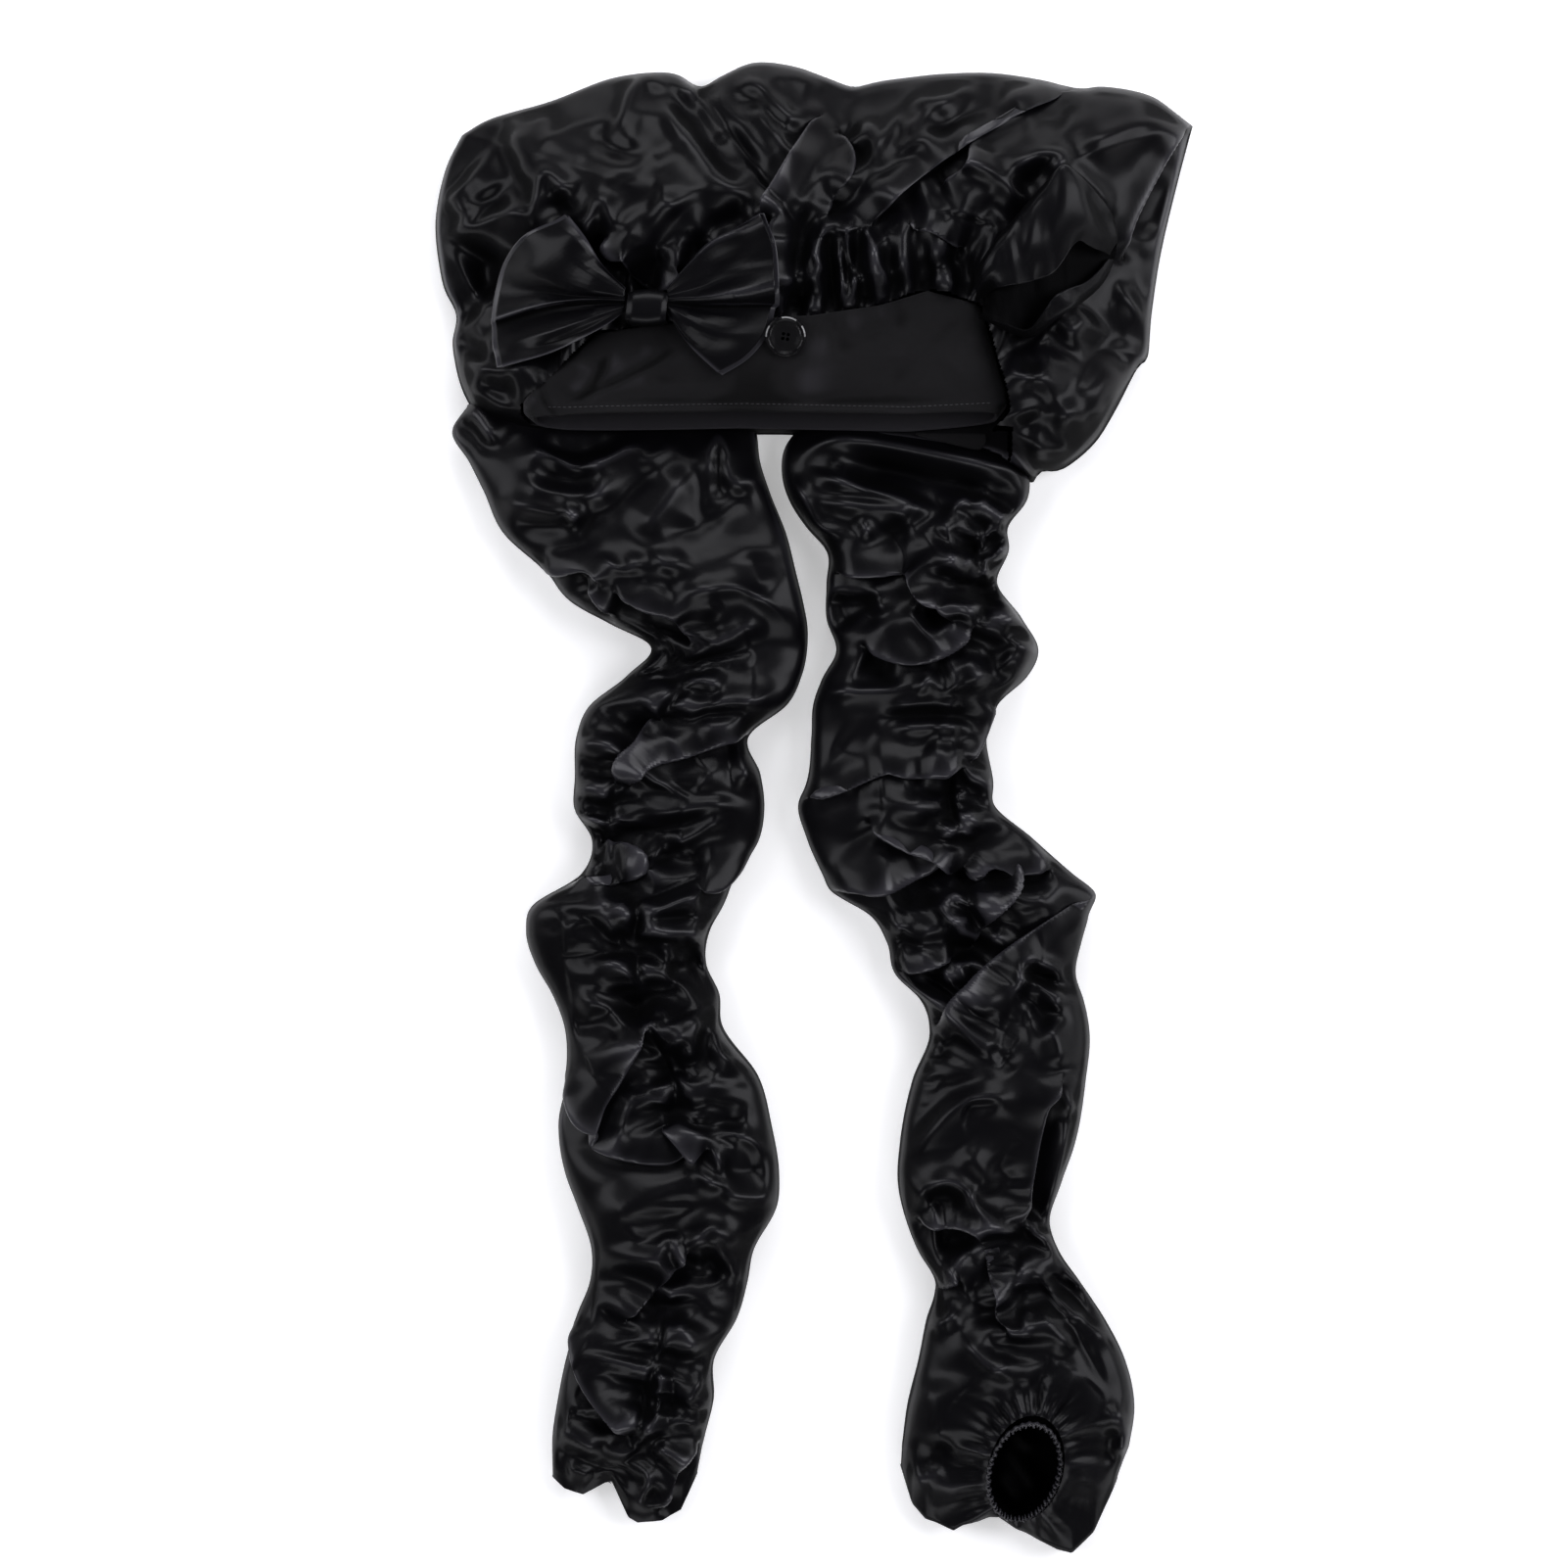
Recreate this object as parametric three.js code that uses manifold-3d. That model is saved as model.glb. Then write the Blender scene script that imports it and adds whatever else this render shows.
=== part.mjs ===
// Braid sleep bonnet lying flat on its back: a puffed satin crown gathered into a wide jersey headband,
// a satin bow and a button on the band, a flared satin loop at the band's right end, and two long ruched
// sleeves for braids that run down from the back of the crown and end in gathered hems.
// Millimetres. +X right, +Y towards the top of the crown, +Z up, floor at z = 0.
import * as THREE from 'three';
import Module from 'manifold-3d';
import { mergeVertices } from 'three/addons/utils/BufferGeometryUtils.js';

const wasm = await Module();
wasm.setup();

// ---------------------------------------------------------------- driving dimensions
const WALL = 2; // satin with its facing
const GAP = 0.3; // clearance between pieces that touch
const CROWN_HEIGHT = 68;
const CROWN_EDGE = 11; // height of the crown's outermost line above the floor
const CROWN_CENTRE = { x: 0, y: 288 };
const CROWN_DOME_POWER = 3.2; // flatness of the crown's top
const BAND_BOTTOM = 30;
const BAND_TOP = 55;
const BAND_WALL = 2.4; // jersey, two layers
const BAND_BACK_DROP = 9; // how far the band's back half shows below its front half
const SLEEVE_EDGE = 10; // height of a sleeve's side line above the floor
const SLEEVE_POINTS = 16;
const HEM_WALL = 2;
const PINCH_HEIGHT = BAND_TOP + 7; // where the bow's wings and the side loop are gathered
const LOOP_WALL = 1.6;
const TAB_THICKNESS = 1.4;
const BUTTON_RADIUS = 10.8;
const BUTTON_THICKNESS = 3.4;
const BUTTON_CENTRE = { x: -14.3, y: 246 };
const BUTTON_TILT = 12; // degrees, top edge raised by the gathers behind it
const BUTTON_HOLE = { count: 4, radius: 0.95, offset: 1.75, turn: 36 };
const PASSAGE_REACH = 14; // how far the band's hollow is carried through the crown's wall
const FRONT_OVERRUN = 30; // how far the band's room runs out of the crown's front
const MOUTH_REACH = 4; // how far a sleeve's hollow is carried past its ends
const WELD = 0.001; // corners closer than this are one
const CLOTH_CLEARANCE = 0.5; // between a cloth piece and the folds that it lies over

const named = (columns, rows) => rows.map((row) =>
  Object.fromEntries(columns.map((column, i) => [column, row[i]])));

// The crown's outline from above, clockwise from its left side.
const CROWN_OUTLINE = named(['x', 'y'], [
  [-201, 304], [-202, 322], [-195, 342], [-187, 358], [-171, 368], [-140, 376], [-109, 387],
  [-85, 392], [-57, 387], [-31, 397], [-10, 394], [26, 386], [55, 391], [81, 392], [110, 389],
  [143, 383], [169, 381], [188, 374], [203, 363], [195, 335], [189, 298], [186, 272], [180, 244],
  [173, 228], [161, 210], [148, 190], [134, 178], [118, 173], [100, 180], [60, 191], [10, 197],
  [-24, 199], [-100, 197], [-150, 199], [-178, 208], [-187, 223], [-192, 246], [-190, 262],
  [-197, 278],
]);

// Broad swellings of the crown's cloth.
const CROWN_BULGES = named(['x', 'y', 'radius', 'height'], [
  [-160, 318, 40, 8],
  [-95, 335, 45, 6],
  [120, 330, 60, 5],
  [140, 215, 30, 10],
  [-175, 235, 22, 8],
  [-87, 272, 26, -17],
]);

// Main folds of the crown: ridges, or valleys where the height is negative.
const CROWN_FOLDS = named(['path', 'width', 'height'], [
  [[[-92, 383], [-103, 345]], 13, 7],
  [[[-76, 378], [-30, 319]], 14, 8],
  [[[-60, 366], [-88, 320], [-70, 290]], 16, -9],
  [[[-36, 380], [-4, 329]], 12, 6],
  [[[15, 354], [-20, 278]], 11, 9],
  [[[5, 330], [-2, 285]], 9, -8],
  [[[141, 382], [42, 316], [26, 303]], 12, 9],
  [[[203, 363], [166, 305]], 14, 8],
  [[[180, 350], [172, 262]], 15, -8],
  [[[157, 278], [179, 246]], 12, 6],
  [[[-168, 368], [-145, 316]], 12, 7],
  [[[-189, 301], [-150, 309]], 12, 7],
  [[[-176, 290], [-150, 283]], 18, -12],
  [[[-190, 262], [-168, 238], [-158, 222]], 11, 6],
  [[[100, 262], [128, 225], [150, 200]], 13, -8],
  [[[-150, 238], [-119, 253], [-67, 263], [0, 267], [34, 272], [60, 280], [96, 272]], 15, -11],
]);

// Sleeves: one row for each cross section, from the root inside the crown to the open end.
const SLEEVE_COLUMNS = ['y', 'left', 'right', 'height'];
const LEFT_SECTIONS = named(SLEEVE_COLUMNS, [
  [224, -170, -46, 21], [214, -184, -34, 23], [200, -193, -29, 25], [184, -184, -27, 32],
  [168, -176, -22, 36], [145, -165, -13, 38], [125, -143, -8, 42], [108, -128, -4, 38],
  [96, -106, -2, 34], [87, -88, -2, 30], [70, -99, -5, 33], [54, -119, -13, 38],
  [38, -126, -33, 36], [17, -127, -27, 40], [-2, -127, -25, 34], [-18, -118, -28, 29],
  [-37, -125, -40, 34], [-53, -150, -47, 38], [-66, -153, -54, 36], [-84, -148, -56, 32],
  [-100, -139, -49, 31], [-115, -133, -48, 36], [-144, -132, -28, 35], [-170, -136, -21, 33],
  [-196, -132, -17, 38], [-212, -126, -18, 38], [-237, -118, -31, 34], [-253, -119, -34, 29],
  [-271, -126, -39, 32], [-295, -132, -52, 36], [-315, -136, -52, 34], [-336, -139, -57, 27],
  [-352, -139, -61, 20],
]);
const RIGHT_SECTIONS = named(SLEEVE_COLUMNS, [
  [216, 4, 86, 21], [204, -6, 98, 23], [192, -15, 110, 25], [178, -17, 116, 32],
  [163, -13, 115, 37], [149, -4, 105, 33], [136, 7, 105, 36], [119, 7, 99, 38],
  [100, 7, 112, 40], [82, 12, 121, 37], [69, 5, 115, 38], [55, 0, 100, 35],
  [38, -1, 94, 32], [12, -4, 97, 36], [2, -8, 97, 35], [-16, -4, 117, 32],
  [-37, 5, 141, 35], [-45, 9, 151, 36], [-58, 30, 148, 34], [-72, 39, 144, 31],
  [-90, 44, 141, 29], [-103, 57, 145, 34], [-120, 62, 148, 38], [-145, 53, 146, 41],
  [-180, 46, 140, 40], [-200, 45, 133, 37], [-222, 50, 127, 31], [-237, 56, 132, 30],
  [-253, 65, 143, 33], [-274, 60, 157, 37], [-294, 56, 167, 39], [-318, 50, 172, 38],
  [-341, 47, 169, 33],
]);

// Where each open end lies, from its left side to its right side.
const LEFT_MOUTH = [[-139, -358], [-132, -366], [-122, -366], [-110, -360], [-98, -376], [-87, -381],
  [-70, -374], [-61, -358]];
const RIGHT_MOUTH = [[46, -352], [53, -372], [66, -383], [80, -382], [89, -373], [98, -361], [107, -380],
  [120, -391], [138, -397.5], [150, -386], [163, -360]];

// Gather lines and large folds of the sleeves.
const FOLD_COLUMNS = ['path', 'width', 'height'];
const LEFT_FOLDS = named(FOLD_COLUMNS, [
  [[[-184, 209], [-166, 188]], 11, 6],
  [[[-71, 186], [-115, 151], [-140, 133]], 13, -8],
  [[[-50, 196], [-47, 158]], 10, 6],
  [[[-153, 124], [-106, 101]], 10, 6],
  [[[-75, 87], [-70, 66], [-101, 17], [-105, -19], [-93, -55]], 11, -10],
  [[[-93, -55], [-90, -97], [-72, -149], [-77, -165]], 11, -9],
  [[[-3, 90], [-14, 56], [-78, 28], [-98, 11]], 13, 8],
  [[[-127, -140], [-113, -178], [-72, -185], [-55, -180]], 12, 7],
  [[[-60, -235], [-98, -272]], 12, 7],
  [[[-128, -274], [-112, -318], [-93, -335]], 12, 7],
  [[[-77, -258], [-83, -300], [-94, -339]], 12, -8],
]);
const RIGHT_FOLDS = named(FOLD_COLUMNS, [
  [[[-6, 184], [14, 193], [67, 185], [107, 176]], 11, 8],
  [[[12, 183], [107, 162]], 12, -9],
  [[[10, 124], [62, 106], [80, 100], [54, 77], [12, 102]], 10, 6],
  [[[33, 110], [22, 92]], 12, -10],
  [[[3, 58], [53, 63], [66, 62]], 10, 5],
  [[[38, 46], [90, 46]], 10, -7],
  [[[73, 18], [79, -34], [85, -84]], 11, -10],
  [[[10, -46], [61, -33], [78, -36]], 11, 6],
  [[[152, -45], [101, -79], [63, -119]], 12, 8],
  [[[124, -110], [132, -142], [118, -177]], 12, -8],
  [[[56, -214], [74, -197], [86, -212], [97, -236], [102, -273]], 11, 7],
  [[[114, -225], [150, -262], [170, -300]], 13, 7],
]);

// The headband from above: the seam under the crown's gathers and the free front edge.
const BAND_SEAM = [[-144, 231], [-119, 246], [-67, 254], [-1, 257], [34, 262], [60, 270], [88, 263]];
const BAND_FRONT = [[-154, 199], [-130, 198], [-36, 200], [50, 198], [103, 201]];
const BAND_SIDES = named(['share', 'left', 'right'], [
  [0, -144, 88], [0.3, -149, 93], [0.6, -153, 98], [0.8, -152, 102], [0.9, -145, 102], [1, -133, 96],
]);

const KNOT = { left: -97, right: -76, bottom: 250, top: 270, height: 15, bed: 5, roundness: 0.8 };
// How full the knot is, from its left end to its right end.
const KNOT_FULLNESS = named(['share', 'size'], [
  [0, 0.82], [0.12, 0.97], [0.5, 0.9], [0.88, 0.97], [1, 0.82],
]);

// Bow wings: one row for each pleat line, from the knot's side out to the free edge.
const wing = (fromX, rows) => named(['fromY', 'toX', 'toY', 'lift'], rows).map((row) => ({ fromX, ...row }));
const LEFT_WING = wing(KNOT.left - GAP, [
  [269, -127, 308, 3], [266, -138, 303, 10], [264, -150, 299, 3], [262, -160, 286, 9], [260, -166, 270, 3],
  [257, -167, 255, 11], [255, -165, 242, 3], [252, -161, 231, 8], [250, -137, 237, 3],
]);
const RIGHT_WING = wing(KNOT.right + GAP, [
  [250, -47, 229, 3], [252, -36, 233, 9], [255, -27, 246, 4], [258, -23, 258, 10], [261, -20, 266, 2],
  [263, -19, 280, 11], [266, -22, 296, 5], [268, -28, 307, 10], [270, -50, 301, 3],
]);

// The flared loop at the band's right end: its ribs, from the pinch to the free edge.
// cover is the share of the rib that the upper layer reaches, which leaves the loop's mouth open to view.
const LOOP_RIBS = named(['fromX', 'fromY', 'toX', 'toY', 'lift', 'thickness', 'cover'], [
  [93, 270, 112, 246, 1, 2, 0.55], [92, 271, 134, 258, 2, 8, 0.45], [91, 272, 152, 274, 3, 12, 0.5],
  [90, 274, 160, 292, 4, 14, 0.75], [89, 276, 160, 306, 5, 14, 1], [88, 278, 152, 324, 5, 11, 1],
  [87, 281, 142, 334, 4, 7, 1], [86, 284, 130, 340, 3, 2, 1],
]);
// The free corner of the satin layer that shows under the band's front edge.
const TAB_CORNERS = [[54, 197.6], [56, 196], [86, 188], [90, 189.5], [92, 197.6]];

// The button's half section: how far in from its rim, and how high above its back.
const BUTTON_PROFILE = named(['fromRim', 'height'], [
  [BUTTON_RADIUS, 0], [1.6, 0], [0.4, 0.7], [0, 1.6], [0.3, BUTTON_THICKNESS - 0.5], [1, BUTTON_THICKNESS],
  [1.7, BUTTON_THICKNESS - 0.1], [2.3, BUTTON_THICKNESS - 0.9], [3.1, BUTTON_THICKNESS - 0.7],
  [5, BUTTON_THICKNESS - 1.1], [BUTTON_RADIUS, BUTTON_THICKNESS - 1.4],
]);

// The right sleeve's gathered opening, turned upwards near its end.
const RIGHT_OPENING = { x: 112, y: -352, halfWidth: 20, halfLength: 30, height: 28, slope: 20, turn: -12 };
const OPENING_CUT = 26; // depth of the cut that the opening makes in the sleeve's upper wall

// ---------------------------------------------------------------- small helpers
const lerp = THREE.MathUtils.lerp;

/** Height of a line of [x, y] points at x. */
function lineAt(line, x) {
  if (x <= line[0][0]) return line[0][1];
  for (let i = 1; i < line.length; i += 1) {
    const [x0, y0] = line[i - 1];
    const [x1, y1] = line[i];
    if (x <= x1) return lerp(y0, y1, (x - x0) / (x1 - x0));
  }
  return line[line.length - 1][1];
}

/** What a table of rows says at key, between its rows. */
function rowAt(rows, key, value) {
  const next = rows.findIndex((row) => row[key] >= value);
  if (next <= 0) return rows[next < 0 ? rows.length - 1 : 0];
  const [a, b] = [rows[next - 1], rows[next]];
  const share = (value - a[key]) / (b[key] - a[key]);
  return Object.fromEntries(Object.keys(a).map((column) => [column, lerp(a[column], b[column], share)]));
}

const FOLD_END_FADE = 4; // a fold reaches its full height over a quarter of its length from each end
const FOLD_END_SHARE = 0.35; // the share of its height that it keeps at its very end

/** Height that a table of folds adds at a point: each is a rounded ridge that fades at both its ends. */
function foldsAt(folds, x, y) {
  let sum = 0;
  for (const { path, width, height } of folds) {
    const lengths = path.slice(1).map((p, i) => Math.hypot(p[0] - path[i][0], p[1] - path[i][1]));
    const total = lengths.reduce((a, b) => a + b, 0);
    let best = { distance: Infinity, along: 0 };
    let before = 0;
    lengths.forEach((length, i) => {
      const [ax, ay] = path[i];
      const [bx, by] = path[i + 1];
      const share = ((x - ax) * (bx - ax) + (y - ay) * (by - ay)) / length ** 2;
      const t = THREE.MathUtils.clamp(share, 0, 1);
      const distance = Math.hypot(x - lerp(ax, bx, t), y - lerp(ay, by, t));
      if (distance < best.distance) best = { distance, along: (before + t * length) / total };
      before += length;
    });
    const fade = Math.min(1, FOLD_END_FADE * Math.min(best.along, 1 - best.along) + FOLD_END_SHARE);
    sum += height * fade * Math.exp(-((best.distance / width) ** 2));
  }
  return sum;
}

/** A three.js geometry from points and faces, its faces turned outwards. */
function bodyOf(points, faces) {
  const geometry = new THREE.BufferGeometry();
  geometry.setAttribute('position', new THREE.Float32BufferAttribute(points.flatMap((p) => p.toArray()), 3));
  geometry.setIndex(volumeOf(points, faces) < 0 ? reversed(faces) : faces);
  return geometry;
}

/** One closed body through rings of points, each end closed by a fan. */
function loft(rings) {
  const count = rings[0].length;
  const points = rings.flat();
  const faces = [];
  for (let r = 0; r + 1 < rings.length; r += 1) {
    for (let i = 0; i < count; i += 1) {
      const a = r * count + i;
      const b = r * count + (i + 1) % count;
      faces.push(a, b, b + count, a, b + count, a + count);
    }
  }
  for (const [ring, flip] of [[0, true], [rings.length - 1, false]]) {
    const centre = new THREE.Vector3();
    rings[ring].forEach((p) => centre.addScaledVector(p, 1 / count));
    points.push(centre);
    for (let i = 0; i < count; i += 1) {
      const a = ring * count + i;
      const b = ring * count + (i + 1) % count;
      faces.push(...(flip ? [b, a, points.length - 1] : [a, b, points.length - 1]));
    }
  }
  return bodyOf(points, faces);
}

function volumeOf(points, faces) {
  const cross = new THREE.Vector3();
  let six = 0;
  for (let i = 0; i < faces.length; i += 3) {
    six += points[faces[i]].dot(cross.crossVectors(points[faces[i + 1]], points[faces[i + 2]]));
  }
  return six / 6;
}

function reversed(faces) {
  const turned = [];
  for (let i = 0; i < faces.length; i += 3) turned.push(faces[i], faces[i + 2], faces[i + 1]);
  return turned;
}

/** The same body with its surface moved inwards by depth. */
function inset(geometry, depth) {
  const moved = geometry.clone();
  moved.computeVertexNormals();
  const { position, normal } = moved.attributes;
  for (let i = 0; i < position.count; i += 1) {
    position.setXYZ(
      i,
      position.getX(i) - depth * normal.getX(i),
      position.getY(i) - depth * normal.getY(i),
      position.getZ(i) - depth * normal.getZ(i),
    );
  }
  return moved;
}

const MERGE = 1e-4; // repeated corners of one face list are this close

/** A three.js geometry as a solid that can be joined and cut. */
function solidOf(geometry) {
  const plain = new THREE.BufferGeometry();
  plain.setAttribute('position', geometry.attributes.position.clone());
  if (geometry.index) plain.setIndex(geometry.index.clone());
  const merged = mergeVertices(plain, MERGE);
  return new wasm.Manifold(new wasm.Mesh({
    numProp: 3,
    vertProperties: Float32Array.from(merged.attributes.position.array),
    triVerts: Uint32Array.from(merged.index.array),
  }));
}

/** A solid as a three.js geometry. Corners closer than WELD become one, and the faces that this closes go. */
function geometryOf(solid) {
  const { vertProperties, triVerts } = solid.getMesh();
  const geometry = new THREE.BufferGeometry();
  geometry.setAttribute('position', new THREE.BufferAttribute(vertProperties, 3));
  geometry.setIndex(new THREE.BufferAttribute(triVerts, 1));
  const welded = mergeVertices(geometry, WELD);
  const faces = [];
  const index = welded.index.array;
  for (let i = 0; i < index.length; i += 3) {
    const [a, b, c] = [index[i], index[i + 1], index[i + 2]];
    if (a !== b && b !== c && c !== a) faces.push(a, b, c);
  }
  welded.setIndex(faces);
  return welded;
}

/** An upright block over a closed outline. */
function block(outline, bottom, top) {
  const shape = new THREE.Shape(outline.map(([x, y]) => new THREE.Vector2(x, y)));
  const geometry = new THREE.ExtrudeGeometry(shape, { depth: top - bottom, bevelEnabled: false });
  geometry.translate(0, 0, bottom);
  return solidOf(geometry);
}

/** Points round a flattened tube's section: x across, z up, the side line at height edge. */
function sectionPoints({ left, right, bottom, top, edge }, count, roundness) {
  const middle = (left + right) / 2;
  const half = (right - left) / 2;
  return Array.from({ length: count }, (_, i) => {
    const angle = (2 * Math.PI * i) / count;
    const across = -Math.sign(Math.cos(angle)) * Math.abs(Math.cos(angle)) ** roundness;
    const rise = Math.abs(Math.sin(angle)) ** roundness;
    const upper = Math.sin(angle) >= 0;
    return {
      x: middle + half * across,
      z: upper ? lerp(edge, top, rise) : lerp(edge, bottom, rise),
      rise: upper ? rise : 0,
    };
  });
}

// ---------------------------------------------------------------- sleeves
const SECTION_ROUNDNESS = 0.72;
const ROOT_ROWS = 3; // sections that lie inside the crown, on its lower wall
const ROOT_BASE = WALL + 2 * GAP;
const ROOT_CAP = 1; // the closed end beyond a sleeve's first section

/** Rings of a sleeve. A positive depth gives the hollow inside, reaching past both ends; a negative one
 *  gives the sleeve with clearance all round. */
function sleeveRings({ sections, mouth, mouthHeight, endClosed, folds }, depth) {
  const reach = depth > 0 ? MOUTH_REACH : -depth;
  const endReach = endClosed ? -depth : reach;
  const ring = ({ y, left, right, height, base = 0 }, yAt, foldShare) => sectionPoints({
    left: left + depth,
    right: right - depth,
    bottom: base + depth,
    top: height - depth,
    edge: Math.min(SLEEVE_EDGE, height / 2),
  }, SLEEVE_POINTS, SECTION_ROUNDNESS).map(({ x, z, rise }) => new THREE.Vector3(
    x,
    yAt(x, y),
    z + foldShare * rise * foldsAt(folds, x, y),
  ));
  const straight = (x, y) => y;
  const rings = sections.map((section, i) => (i < ROOT_ROWS
    ? ring({ ...section, base: ROOT_BASE }, straight, 0)
    : ring(section, straight, 1)));
  const root = { ...sections[0], base: ROOT_BASE };
  rings.unshift(ring({ ...root, y: root.y + reach + ROOT_CAP }, straight, 0));
  const left = mouth[0][0];
  const right = mouth[mouth.length - 1][0];
  const end = { left, right, y: 0, height: mouthHeight };
  rings.push(ring(end, (x) => lineAt(mouth, x) - endReach, 0));
  return rings;
}

const sleeveSolid = (sleeve, depth) => solidOf(loft(sleeveRings(sleeve, depth)));

// ---------------------------------------------------------------- crown
const CROWN_RINGS = named(['share', 'height'], [
  [0.4, 0], [0.72, 0], [0.9, 0], [0.975, 3.5], [1, CROWN_EDGE],
]);
const CROWN_TOP_SHARES = [0.985, 0.945, 0.88, 0.79, 0.68, 0.56, 0.43, 0.3, 0.16];
const FOLD_FADE = 0.1; // folds die out over this share of the crown's half width

function crownHeightAt(share, x, y) {
  const dome = Math.sqrt(1 - share ** CROWN_DOME_POWER);
  const bulges = CROWN_BULGES.reduce((sum, bulge) => {
    const distance = Math.hypot(x - bulge.x, y - bulge.y);
    return sum + bulge.height * Math.exp(-((distance / bulge.radius) ** 2));
  }, 0);
  const fade = Math.min(1, (1 - share) / FOLD_FADE);
  return lerp(CROWN_EDGE, CROWN_HEIGHT, dome) + fade * (bulges + foldsAt(CROWN_FOLDS, x, y));
}

function crownPillow() {
  const ringAt = (share, heightAt) => CROWN_OUTLINE.map((edge) => {
    const x = lerp(CROWN_CENTRE.x, edge.x, share);
    const y = lerp(CROWN_CENTRE.y, edge.y, share);
    return new THREE.Vector3(x, y, heightAt(share, x, y));
  });
  return loft([
    ...CROWN_RINGS.map(({ share, height }) => ringAt(share, () => height)),
    ...CROWN_TOP_SHARES.map((share) => ringAt(share, crownHeightAt)),
  ]);
}

// ---------------------------------------------------------------- headband
const BAND_STATIONS = [0, 0.2, 0.4, 0.6, 0.8, 1];
const BAND_POINTS = 22;
const BAND_ROUNDNESS = 0.55;

/** Rings of the band, from the seam to the free edge. Its back half reaches lower than its front. */
function bandRings(depth) {
  const reach = depth > 0 ? PASSAGE_REACH : -depth;
  return BAND_STATIONS.map((share) => {
    const { left, right } = rowAt(BAND_SIDES, 'share', share);
    const section = sectionPoints({
      left: left + depth,
      right: right - depth,
      bottom: BAND_BOTTOM + depth,
      top: BAND_TOP - depth,
      edge: (BAND_BOTTOM + BAND_TOP) / 2,
    }, BAND_POINTS, BAND_ROUNDNESS);
    const push = (share === 0 ? reach : 0) - (share === 1 ? reach : 0);
    return section.map(({ x, z }) => {
      const rise = (z - BAND_BOTTOM) / (BAND_TOP - BAND_BOTTOM);
      const front = lineAt(BAND_FRONT, x) + BAND_BACK_DROP * rise;
      return new THREE.Vector3(x, lerp(lineAt(BAND_SEAM, x), front, share) + push, z);
    });
  });
}

/** The room that the band takes out of the crown, open to the front and upwards. */
function bandRoom(clearance) {
  const left = Math.min(...BAND_SIDES.map((side) => side.left)) - clearance;
  const right = Math.max(...BAND_SIDES.map((side) => side.right)) + clearance;
  const front = Math.min(...BAND_FRONT.map(([, y]) => y)) - FRONT_OVERRUN;
  const seam = BAND_SEAM.map(([x, y]) => [x, y + clearance]);
  const [seamStart, seamEnd] = [seam[0][1], seam[seam.length - 1][1]];
  const outline = [[left, front], [right, front], [right, seamEnd], ...seam.reverse(), [left, seamStart]];
  return block(outline, BAND_BOTTOM - clearance, 2 * BAND_TOP);
}

// ---------------------------------------------------------------- cloth that lies on top
const WING_SHARES = [0, 0.15, 0.35, 0.55, 0.75, 0.9, 1];
const WING_ARCH = { start: 0.15, span: 0.75 }; // the part of a half wave that a rib follows
const WING_SETTLE = 0.5; // share of a rib over which it comes down from its pinch
const NEIGHBOURHOOD = 4;
const RAY_START = 3 * CROWN_HEIGHT;

/** A function that gives the height of the highest surface at a point. */
function heightOver(geometries) {
  const meshes = geometries.map((geometry) => new THREE.Mesh(geometry));
  const down = new THREE.Vector3(0, 0, -1);
  const ray = new THREE.Raycaster();
  return (x, y) => {
    ray.set(new THREE.Vector3(x, y, RAY_START), down);
    const hit = ray.intersectObjects(meshes)[0];
    return hit ? hit.point.z : 0;
  };
}

/** Where a cloth piece may lie at a point: over the folds in the neighbourhood. */
function landing(x, y) {
  const around = [[0, 0], [-1, 0], [1, 0], [0, -1], [0, 1]];
  return CLOTH_CLEARANCE + Math.max(
    ...around.map(([dx, dy]) => surfaceHeight(x + dx * NEIGHBOURHOOD, y + dy * NEIGHBOURHOOD)),
  );
}

/** A piece lowered until it lies GAP above what is under it. */
function seated(solid) {
  const geometry = geometryOf(solid);
  const faces = geometry.toNonIndexed().attributes.position;
  let drop = Infinity;
  for (let i = 0; i < faces.count; i += 3) {
    const corners = [0, 1, 2].map((k) => new THREE.Vector3().fromBufferAttribute(faces, i + k));
    const middle = corners[0].clone().add(corners[1]).add(corners[2]).divideScalar(3);
    for (const point of [...corners, middle]) {
      drop = Math.min(drop, point.z - surfaceHeight(point.x, point.y));
    }
  }
  return solidOf(geometry.translate(0, 0, GAP - drop));
}

/** A fan of cloth from a pinch to a free edge: ribs of different lift make its pleats. Each rib can have its
 *  own thickness and cover. A positive depth gives the hollow inside, reaching past the free edge. */
function fan(ribs, depth = 0) {
  const reach = depth > 0 ? MOUTH_REACH : 0;
  const place = (rib, share) => {
    const past = 1 + reach / Math.hypot(rib.toX - rib.fromX, rib.toY - rib.fromY);
    const x = lerp(rib.fromX, rib.toX, share * past);
    const y = lerp(rib.fromY, rib.toY, share * past);
    const under = landing(x, y);
    const free = under + rib.lift * Math.sin(Math.PI * (WING_ARCH.start + WING_ARCH.span * share));
    const settled = THREE.MathUtils.smoothstep(share, 0, WING_SETTLE);
    return { x, y, z: Math.max(under, lerp(PINCH_HEIGHT, free, settled)) };
  };
  return solidOf(loft(WING_SHARES.map((share) => {
    const lower = ribs.map((rib) => {
      const { x, y, z } = place(rib, share);
      return new THREE.Vector3(x, y, z + depth);
    });
    const upper = ribs.map((rib) => {
      const { x, y, z } = place(rib, share * (rib.cover ?? 1));
      return new THREE.Vector3(x, y, z + (rib.thickness ?? WALL) - depth);
    });
    return [...lower, ...upper.reverse()];
  })));
}

const KNOT_POINTS = 20;
const BUTTON_STEPS = 32;
const HOLE_STEPS = 10;

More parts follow.
